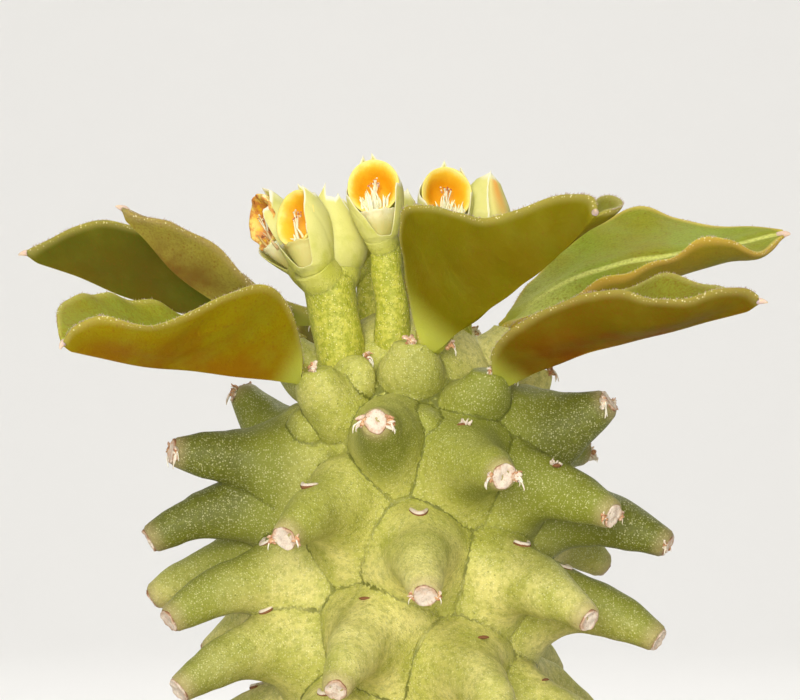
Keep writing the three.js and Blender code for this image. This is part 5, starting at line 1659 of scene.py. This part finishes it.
    def stamens(self, seed: int) -> list[Surface]:
        """Cream filaments that fan out of the little cup, and a knot of red-brown anthers above them."""
        random = np.random.default_rng(seed)
        parts = []
        t = np.linspace(0, 1, 8)[:, None]
        for _ in range(self.brush):
            across = random.uniform(-1, 1)
            start = self.local(2.6, 0.85 + random.uniform(-0.3, 0.45), 0.95 * across)
            reach = random.uniform(0.7, 2.5) * (1 - 0.35 * abs(across))
            ahead = 1.25 + random.uniform(-0.5, 0.35)
            end = self.local(3.0 + reach, ahead, 1.45 * across + random.uniform(-0.15, 0.15))
            bend = random.normal(size=3) * 0.12
            line = start + (end - start) * t + bend * np.sin(np.pi * t)
            widths = self.size * np.interp(t[:, 0], [0, 0.5, 0.8, 1], [0.15, 0.13, 0.09, 0.02])
            parts.append(tagged(strand(line, widths, 7), anther=random.uniform(0, 0.06) + 0.4 * self.wilt,
                                low=random.uniform(-0.5, 0.3) + self.wilt))
        lobe = np.linspace(-1, 1, 7)[:, None]
        swell = np.sqrt(1.05 - lobe[:, 0]**2)
        for k in range(self.anthers):
            at = self.local(random.uniform(5.3, 6.1), random.uniform(-0.05, 0.45), random.uniform(-0.5, 0.5))
            red = random.uniform(0.7, 1) if k % 2 else random.uniform(0.1, 0.35)
            body = at + unit(random.normal(size=3)) * 0.10 * lobe
            parts.append(tagged(strand(body, 0.085 * swell, 7), anther=red, low=0.1))
            if k % 3 == 0:
                root = self.local(4.3, 0.7, 0.0)
                thread = strand(root + (at - root) * t, np.full(8, 0.045), 6)
                parts.append(tagged(thread, anther=0.1, low=0.1))
        return parts

    def bud(self) -> Surface:
        """A closed cup, drawn to a point, with a seam where its bracts meet and a flush beside it."""
        angles = np.linspace(-np.pi, np.pi, 88, endpoint=False)
        share = np.linspace(0, 1, 46)[:, None]
        height = share * self.height
        radius = self.radius_at(height) * (1 - 1.35 * np.clip(share - 0.5, 0, None)**1.2)
        radius = radius * np.clip((1.004 - share) * 9, 0.05, 1)**0.6
        off_seam = angles - 0.62 + 0.6 * share
        seam = np.exp(-(off_seam / 0.07)**2) * np.clip(share * 3 - 0.8, 0, 1)
        radius = radius * (1 - 0.07 * seam + 0.03 * np.exp(-((off_seam + 0.13) / 0.06)**2))
        tips = 0.35 * np.exp(-(off_seam / 0.35)**2) * np.clip((share - 0.9) * 10, 0, 1)
        rings = self.place(height + tips, radius, angles + 0 * share)
        edge = np.minimum(2.0 * (1 - np.exp(-((off_seam + 0.12) / 0.11)**2)), (1 - share) * 4 + 0.05)
        flush = 0.85 * np.exp(-((off_seam - 0.5) / 0.32)**2)
        flush = flush * np.clip(share * 2.4 - 0.8, 0, 1) * (share < 0.93)
        foot = np.clip(0.5 - share * 1.5, 0, 1) + 0 * angles
        return tube(rings, {"edge": edge, "stalk": foot, "flush": flush})


@dataclass(frozen=True)
class Cluster:
    """A flower stalk and the cups at its top."""

    name: str
    foot: Point
    top: Point
    radii: Pair
    cups: tuple[Cup, ...]
    swelling: tuple[Point, Point] | None = None

    @staticmethod
    def branch(start: np.ndarray, end: np.ndarray, radii: Pair, foot_swell: float,
               stalk: Pair, rounded: bool = False) -> Surface:
        """A fleshy round stalk along a line, with soft swellings.

        Args:
            start: Where it begins.
            end: Where it ends.
            radii: Its radius at each end.
            foot_swell: How much wider it is just above its foot.
            stalk: How stalk-like its skin is at each end, from 0 to 1.
            rounded: Whether it ends in a dome.
        """
        dome = 0.84 + 0.16 * np.sin(np.linspace(0.1, np.pi / 2, 9))
        t = np.concatenate([np.linspace(0, 0.84, 34), dome])[:, None]
        angles = full_turn(44)
        way = unit(end - start)
        side = unit(np.array([1.0, 0, 0]) - way * way[0])
        other = np.cross(way, side)
        width = radii[0] + (radii[1] - radii[0]) * t + foot_swell * np.exp(-((t - 0.12) / 0.16)**2)
        if rounded:
            width = width * np.sqrt(np.clip(1 - np.clip((t - 0.84) / 0.16, 0, 1)**2, 0.002, 1))
        centres = start + (end - start) * t
        around = np.cos(angles)[:, None] * side + np.sin(angles)[:, None] * other
        rings = centres[:, None] + width[:, :, None] * around
        rings = rings + around * (0.10 * ripple(rings, 3.5, 31))[..., None]
        kind = (stalk[0] + (stalk[1] - stalk[0]) * t) + 0 * angles
        return tube(rings, {"edge": np.full(kind.shape, 3.0), "stalk": kind, "flush": 0 * kind})

    def build(self) -> None:
        """Makes the stalk with its cups, and their hoods."""
        foot, top = np.array(self.foot), np.array(self.top)
        swell = 0.0 if self.name == "left" else 0.18
        way = unit(top - foot)
        parts = [self.branch(foot, top + way * 0.9, self.radii, swell, (1.0, 0.85), True)]
        if self.swelling:
            parts.append(tagged(ball(*self.swelling), edge=3, stalk=0.4, flush=0))
        for cup in self.cups:
            end = np.array(cup.foot) + cup.axes()[0] * 0.8 * cup.size
            radii = (self.radii[1] * 0.92, float(cup.radius_at(np.array(0.8))) * cup.size * 0.96)
            parts.append(self.branch(top - way * 0.9, end, radii, 0.0, (0.85, 0.5)))
            parts.append(cup.bud() if cup.name == "bud" else cup.sleeve())
        node = f"cluster_{self.name}"
        finished(mesh_of(f"{node}_bracts", Surface.joined(parts)), BRACT, "bract", node)
        open_cups = [cup for cup in self.cups if cup.name != "bud"]
        hoods = Surface.joined([cup.hood() for cup in open_cups])
        nodes = [f"cyathium_{self.name}_{cup.name}" for cup in open_cups]
        finished(mesh_of(f"hoods_{self.name}", hoods), GLAND, "gland", *nodes)


CLUSTERS = (
    Cluster("left", (-6.3, -5.6, 133.6), (-7.7, -5.8, 142.0), (2.3, 2.35), (
        # Cup a's panel is in painted shade.
        Cup("a", (-8.75, -7.3, 142.4), (-98, 17), -42, 1.04, 1.7, drops=(1.6, 0.0), panel=0.6, brush=9,
            teeth=(-172.0, 84.0)),
        Cup("b", (-9.9, -2.7, 142.6), (-106, 37), -66, 1.18, 0.9, 1.0, radius=2.25, mouth=0.9,
            drops=(1.2, 0.9), brush=5, tooth=0.6),
        Cup("c", (-6.95, -4.3, 142.1), (-90, 4), 150, 1.07, 1.9, radius=2.95, belly=0.32, top_pinch=0.72,
            mouth=0.6, teeth=(174.0, -116.0))),
        ((-8.2, -5.2, 143.1), (2.2, 2.3, 1.8))),
    Cluster("middle", (-1.4, -5.4, 134.2), (-2.3, -6.7, 145.4), (1.6, 1.5), (
        Cup("a", (-2.6, -7.3, 145.2), (-70, 9), -6, 1.02),
        Cup("b", (-1.2, -4.2, 143.6), (150, 30), 150, 0.60))),
    Cluster("right", (4.0, -1.6, 135.6), (4.2, -2.2, 144.8), (1.7, 1.6), (
        Cup("a", (3.4, -3.0, 144.8), (-10, 4), 10, 1.0, teeth=(172.0, 108.0)),
        Cup("bud", (6.1, -0.3, 144.9), (86, 12), 0, 0.92, radius=3.15, belly=0.48))),
    Cluster("back", (-3.3, 3.4, 135.6), (-3.6, 3.9, 143.6), (1.7, 1.6), (
        Cup("a", (-5.3, 3.8, 142.2), (-100, 14), -140, 0.92),
        Cup("b", (-2.6, 6.2, 143.2), (165, 22), 165, 0.95),
        Cup("bud", (-1.6, 2.6, 143.4), (75, 10), 60, 0.9))),
)


@dataclass
class Flowers:
    """All the flower clusters, with what stands in their cups."""

    clusters: tuple[Cluster, ...] = CLUSTERS

    def build(self) -> None:
        """Makes the clusters, then the little cups and stamens of all of them as one piece."""
        for cluster in self.clusters:
            cluster.build()
        open_cups = [cup for cluster in self.clusters for cup in cluster.cups if cup.name != "bud"]
        parts = [cup.involucre() for cup in open_cups]
        parts += [part for k, cup in enumerate(open_cups) for part in cup.stamens(60 + k)]
        finished(mesh_of("stamens", Surface.joined(parts)), PollenParts().material(), "gland")


def turned(profile: np.ndarray, sides: int) -> Surface:
    """A ring-shaped solid: a closed outline of radius and height, turned about the axis."""
    rings = level_rings(profile[:, 0], profile[:, 1], sides)
    quads = bands(len(profile), sides, closed=True)
    return Surface(rings.reshape(-1, 3), quads, np.zeros((0, 3), int)).turned_out()


def rounded(outline: np.ndarray, cuts: np.ndarray, steps: int = 6, spacing: float = 2.5) -> np.ndarray:
    """A closed outline whose corners are cut back and rounded by a curve, with points between.

    Args:
        outline: Corners in order.
        cuts: How far from each corner its curve begins.
        steps: Points on each curve.
        spacing: The longest straight step.
    """
    before = outline + unit(np.roll(outline, 1, 0) - outline) * cuts[:, None]
    after = outline + unit(np.roll(outline, -1, 0) - outline) * cuts[:, None]
    t = np.linspace(0, 1, steps)[None, :, None]
    curves = bent(t, before[:, None], outline[:, None], after[:, None])
    found = []
    for curve, following in zip(curves, np.roll(before, -1, 0)):
        count = max(1, math.ceil(np.linalg.norm(following - curve[-1]) / spacing))
        found += [curve, curve[-1] + (following - curve[-1]) * np.arange(1, count)[:, None] / count]
    return np.vstack(found)


@dataclass(frozen=True)
class Terracotta:
    """Fired clay: warm orange-brown with faint bands, paler dusty patches and a few dark grains."""

    clay: Colour = (0.50, 0.205, 0.098)
    dark: Colour = (0.36, 0.130, 0.060)
    dust_and_glints: Colour = (0.66, 0.42, 0.29)
    lime: Colour = (0.74, 0.66, 0.57)

    def material(self) -> bpy.types.Material:
        """Clay clouded light and dark, bands from the wheel, bloom low down and under the rim, and grains."""
        mix = Recipe("terracotta")
        _, height = mix.axes()
        cloud = mix.noise(16.0, 4.0, 0.6)
        grain = mix.noise(0.8, 4.0, 0.7)
        bands = mix.noise(6.0, 3.0, 0.6, mix.stretched((0.15, 0.15, 3.0)))
        colour = mix.over(self.clay, self.dark, cloud, 0.35, 0.68)
        colour = mix.over(colour, self.dust_and_glints, bands, 0.40, 0.68, 0.0, 0.22)
        bloom = mix.plus(mix.noise(9.0, 5.0, 0.68), mix.span(height, 0.022, 0.0, 0.0, 0.16))
        bloom = mix.plus(bloom, mix.span(height, 0.066, 0.078, 0.0, 0.09))
        colour = mix.over(colour, self.lime, bloom, 0.58, 0.80, 0.0, 0.5)
        colour = mix.over(colour, self.dark, grain, 0.60, 0.72, 0.0, 0.5)
        mix.colour(colour)
        mix.plain(Roughness=0.88, Specular_IOR_Level=0.3)
        mix.relief((bands, 0.12), (grain, 0.10))
        return mix.material


@dataclass
class Pot:
    """A plain turned clay pot with a thick rim and a drain hole."""

    height: float = 78.0
    rim_radius: float = 45.0
    rim_height: float = 17.0
    rim_thickness: float = 6.5
    shoulder_radius: float = 40.5
    base_radius: float = 31.0
    wall: float = 4.5
    floor: float = 6.0
    drain_radius: float = 6.0
    sides: int = 144

    def inside(self, height: float) -> float:
        """The radius of the inner wall below the rim."""
        share = height / (self.height - self.rim_height)
        return self.base_radius + (self.shoulder_radius - self.base_radius) * share - self.wall

    def outline(self) -> np.ndarray:
        """The pot's closed outline with rounded corners."""
        shoulder = self.height - self.rim_height
        inner = self.rim_radius - self.rim_thickness
        corners = np.array([
            [self.drain_radius, 0], [self.base_radius, 0], [self.shoulder_radius, shoulder],
            [self.rim_radius - 0.6, shoulder + 0.4], [self.rim_radius, self.height], [inner, self.height],
            [self.inside(shoulder), shoulder - 1], [self.inside(self.floor), self.floor],
            [self.drain_radius, self.floor]])
        return rounded(corners, np.array([0.6, 1.6, 1.2, 1.8, 2.2, 1.8, 2.5, 4.0, 0.8]))

    def build(self) -> None:
        """Makes the pot, its surface uneven by a tenth of a millimetre from the wheel."""
        surface = turned(self.outline(), self.sides)
        radius = np.linalg.norm(surface.points[:, :2], axis=1)
        height = surface.points[:, 2]
        away = surface.points * np.array([1, 1, 0]) / radius[:, None]
        lines = 0.05 * np.sin(2 * np.pi * height / 2.3 + 3 * ripple(surface.points, 60, 61))
        lines = lines - 0.06 + 0.06 * ripple(surface.points, 30, 62)
        body = np.clip((radius - 20) / 4, 0, 1) * np.clip(height / 2, 0, 1)
        surface.points = surface.points + away * np.minimum(lines * body, 0.0)[:, None]
        finished(mesh_of("pot_body", surface), Terracotta().material(), "clay", "pot")


@dataclass(frozen=True)
class GrittySoil:
    """Brown gritty soil and its stones, which go from black lava through tan clay to pale pumice."""

    earth: Colour = (0.105, 0.066, 0.040)
    crumb: Colour = (0.210, 0.140, 0.088)
    stones: tuple[Colour, ...] = (
        (0.07, 0.058, 0.050), (0.30, 0.17, 0.095), (0.40, 0.30, 0.20), (0.60, 0.54, 0.45))

    def material(self) -> bpy.types.Material:
        """Crumbly earth, or a stone's colour by its own number."""
        mix = Recipe("gritty_soil")
        crumbs = mix.noise(1.2, 5.0, 0.72)
        grain = mix.noise(0.35, 3.0, 0.7)
        colour = mix.over(self.earth, self.crumb, crumbs, 0.40, 0.64)
        own = mix.value("own")
        stone = mix.over(self.stones[0], self.stones[1], own, 0.20, 0.34)
        stone = mix.over(stone, self.stones[2], own, 0.48, 0.60)
        stone = mix.over(stone, self.stones[3], own, 0.76, 0.86)
        stone = mix.over(stone, self.earth, grain, 0.50, 0.74, 0.0, 0.5)
        mix.colour(mix.mix(mix.span(own, 0.0, 0.04), colour, stone))
        mix.plain(Roughness=0.92, Specular_IOR_Level=0.25)
        mix.relief((crumbs, 0.5), (grain, 0.15))
        return mix.material


@dataclass
class Soil:
    """The soil in the pot, with grit on top and a hole for the stem."""

    pot: Pot
    top: float = 71.0
    hole: float = 8.9
    neck: float = 9.6
    rough: float = 0.55
    sides: int = 176
    stones: int = 900
    seed: int = 81
    top_rings: int = 64
    hole_bottom: float = 53.7

    def level(self, points: np.ndarray) -> np.ndarray:
        """How far the surface stands above its plain height."""
        flat = points * np.array([1.0, 1.0, 0.0])
        waves = 0.7 * ripple(flat, 9.0, 71) + 0.4 * ripple(flat, 3.2, 72, 11)
        return self.rough * (waves + 0.22 * ripple(flat, 1.3, 73, 15))

    def bed(self) -> Surface:
        """The soil as rings: up the wall, over the top towards the stem and down its hole."""
        pot = self.pot
        shoulder = pot.height - pot.rim_height
        floor = pot.floor + 0.3
        outer = pot.rim_radius - pot.rim_thickness - 1.2
        across = np.linspace(1, 0, self.top_rings)[:, None]**1.1
        surface = np.hstack([self.neck + (outer - self.neck) * across, np.full_like(across, self.top)])
        profile = np.vstack([
            [[pot.inside(pot.floor) - 4.0, floor], [pot.inside(12) - 0.6, 12],
             [pot.inside(shoulder - 1) - 0.6, shoulder - 1], [outer, self.top - 1.2]],
            surface, [[self.hole, self.top - 2], [self.hole, 60], [self.hole, self.hole_bottom]]])
        rings = level_rings(profile[:, 0], profile[:, 1], self.sides)
        on_top = np.zeros(len(profile))
        on_top[4:4 + self.top_rings] = np.clip(np.minimum(1 - across[:, 0], across[:, 0]) * 12, 0, 1)
        rings = rings + UP * (self.level(rings) * on_top[:, None])[..., None]
        return tube(rings, {"own": np.zeros(rings.shape[:2])})

    def grit(self) -> Surface:
        """Small stones, each a lumpy ball of a few dozen faces, half sunk and turned at random."""
        random = np.random.default_rng(self.seed)
        rise = np.linspace(-0.86, 0.86, 5)[:, None, None] * np.pi / 2
        base = tube(np.cos(rise) * circle(9) + np.sin(rise) * UP, poles=np.stack([-UP, UP]))
        count = self.stones
        span = np.array([self.neck + 1.6, self.pot.rim_radius - self.pot.rim_thickness - 2.4])
        radius = np.sqrt(random.uniform(span[0]**2, span[1]**2, count))
        angle = random.uniform(0, 2 * np.pi, count)
        size = 0.35 + 1.05 * random.uniform(0, 1, count)**2.6
        stretch = size[:, None] * random.uniform([0.8, 0.7, 0.5], [1.35, 1.1, 0.9], (count, 3))
        turn = random.normal(size=(count, 3, 3))
        turn = np.linalg.qr(turn)[0]
        lump = 1 + 0.16 * random.normal(size=(count, len(base.points), 1)).clip(-1.5, 1.5)
        local = np.einsum("kij,kpj->kpi", turn, base.points[None] * lump * stretch[:, None])
        at = np.stack([radius * np.cos(angle), radius * np.sin(angle), np.full(count, self.top)], -1)
        at[:, 2] += self.level(at) + 0.15 * size
        points = (local + at[:, None]).reshape(-1, 3)
        steps = (np.arange(count) * len(base.points))[:, None, None]
        own = np.repeat(random.uniform(0.08, 1, count), len(base.points))
        flipped = np.linalg.det(turn) < 0
        quads, triangles = (np.where(flipped[:, None, None], faces[None, :, ::-1], faces[None]) + steps
                            for faces in (base.quads, base.triangles))
        return Surface(points, quads.reshape(-1, 4), triangles.reshape(-1, 3), {"own": own})

    def build(self) -> None:
        """Makes the soil with its grit."""
        whole = Surface.joined([self.bed(), self.grit()])
        finished(mesh_of("soil_bed", whole), GrittySoil().material(), "soil", "soil")


@dataclass
class Studio:
    """The camera at the photograph's angle, a pale seamless stage and soft lights."""

    pixels_per_mm: float = 10.5
    axis_column: float = 410.0
    bottom_height: float = 102.0
    distance: float = 400.0
    frame_size: tuple[int, int] = (800, 700)
    sensor: float = 36.0
    stage_radius: float = 2.4
    stage_height: float = 2.6
    stage_bend: float = 0.9
    stage_sides: int = 96
    stage_colour: Colour = (0.86, 0.85, 0.83)

    def camera(self) -> None:
        """A level camera that looks along +Y, with the stem's axis right of the middle as photographed."""
        width, height = (side / self.pixels_per_mm for side in self.frame_size)
        lens = bpy.data.cameras.new("camera")
        lens.sensor_width = self.sensor
        lens.lens = self.sensor * self.distance / width
        lens.clip_start = 0.01
        body = placed("camera", lens)
        off_axis = (self.axis_column - self.frame_size[0] / 2) / self.pixels_per_mm
        body.location = (-off_axis * MM, -self.distance * MM, (self.bottom_height + height / 2) * MM)
        body.rotation_euler = (math.pi / 2, 0, 0)
        bpy.context.scene.camera = body

    def stage(self) -> None:
        """A round floor whose edge curves up to a wall: a profile turned about the axis."""
        share = np.linspace(0, 1, 24)
        bend = self.stage_bend
        turn = share * np.pi / 2
        radius = np.concatenate([np.linspace(0.02, self.stage_radius - bend, 8)[:-1],
                                 self.stage_radius - bend + bend * np.sin(turn), [self.stage_radius]])
        rise = np.concatenate([np.zeros(7), bend * (1 - np.cos(turn)), [self.stage_height]])
        rings = level_rings(radius, rise, self.stage_sides) / MM
        count, sides = rings.shape[:2]
        edge = np.arange(sides)
        hub = np.stack([np.full(sides, count * sides), edge, (edge + 1) % sides], -1)
        points = np.vstack([rings.reshape(-1, 3), np.zeros((1, 3))])
        floor = mesh_of("stage", Surface(points, bands(count, sides), hub))
        recipe = Recipe("stage_paper")
        recipe.plain(Base_Color=self.stage_colour, Roughness=0.9)
        floor.data.materials.append(recipe.material)

    def light(self, name: str, place: Point, size: float, power: float, tint: Colour,
              target: Point = (0.0, 0.0, 0.12)) -> None:
        """A square soft light.

        Args:
            name: Its name.
            place: Where it stands, in metres.
            size: Its side, in metres.
            power: Its power in watts.
            tint: Its colour.
            target: What it faces, at first the crown of the plant.
        """
        lamp = bpy.data.lights.new(name, "AREA")
        lamp.size = size
        lamp.energy = power
        lamp.color = tint
        body = placed(name, lamp)
        body.location = place
        body.rotation_euler = (Vector(target) - body.location).to_track_quat("-Z", "Y").to_euler()

    def lights(self) -> None:
        """A key light in front, one above, one behind for the leaves, one on the wall and a faint sky."""
        self.light("key", (-0.06, -0.80, 0.26), 0.30, 5.9, (1.0, 0.97, 0.91))
        self.light("top", (-0.20, -0.35, 0.70), 0.40, 1.9, (1.0, 0.99, 0.96))
        self.light("back", (0.15, 0.55, 0.75), 0.40, 2.6, (1.0, 0.98, 0.94))
        self.light("wall", (0.0, 0.9, 1.0), 0.9, 11.5, (1.0, 0.99, 0.97), (0.0, 2.4, 0.35))
        world = bpy.data.worlds.new("studio")
        world.use_nodes = True
        sky = world.node_tree.nodes["Background"].inputs
        sky["Color"].default_value = (0.95, 0.97, 1.0, 1.0)
        sky["Strength"].default_value = 0.33
        bpy.context.scene.world = world
        bpy.context.scene.view_settings.view_transform = "Standard"

    def build(self) -> None:
        """Sets up everything but the plant."""
        self.camera()
        self.stage()
        self.lights()


def main() -> None:
    """Builds the studio and the plant."""
    logging.basicConfig(level=logging.INFO, format="%(message)s")
    Studio().build()
    Stem().build()
    for leaf in LEAVES:
        leaf.build()
    Flowers().build()
    pot = Pot()
    pot.build()
    Soil(pot).build()


if __name__ == "__main__":
    main()
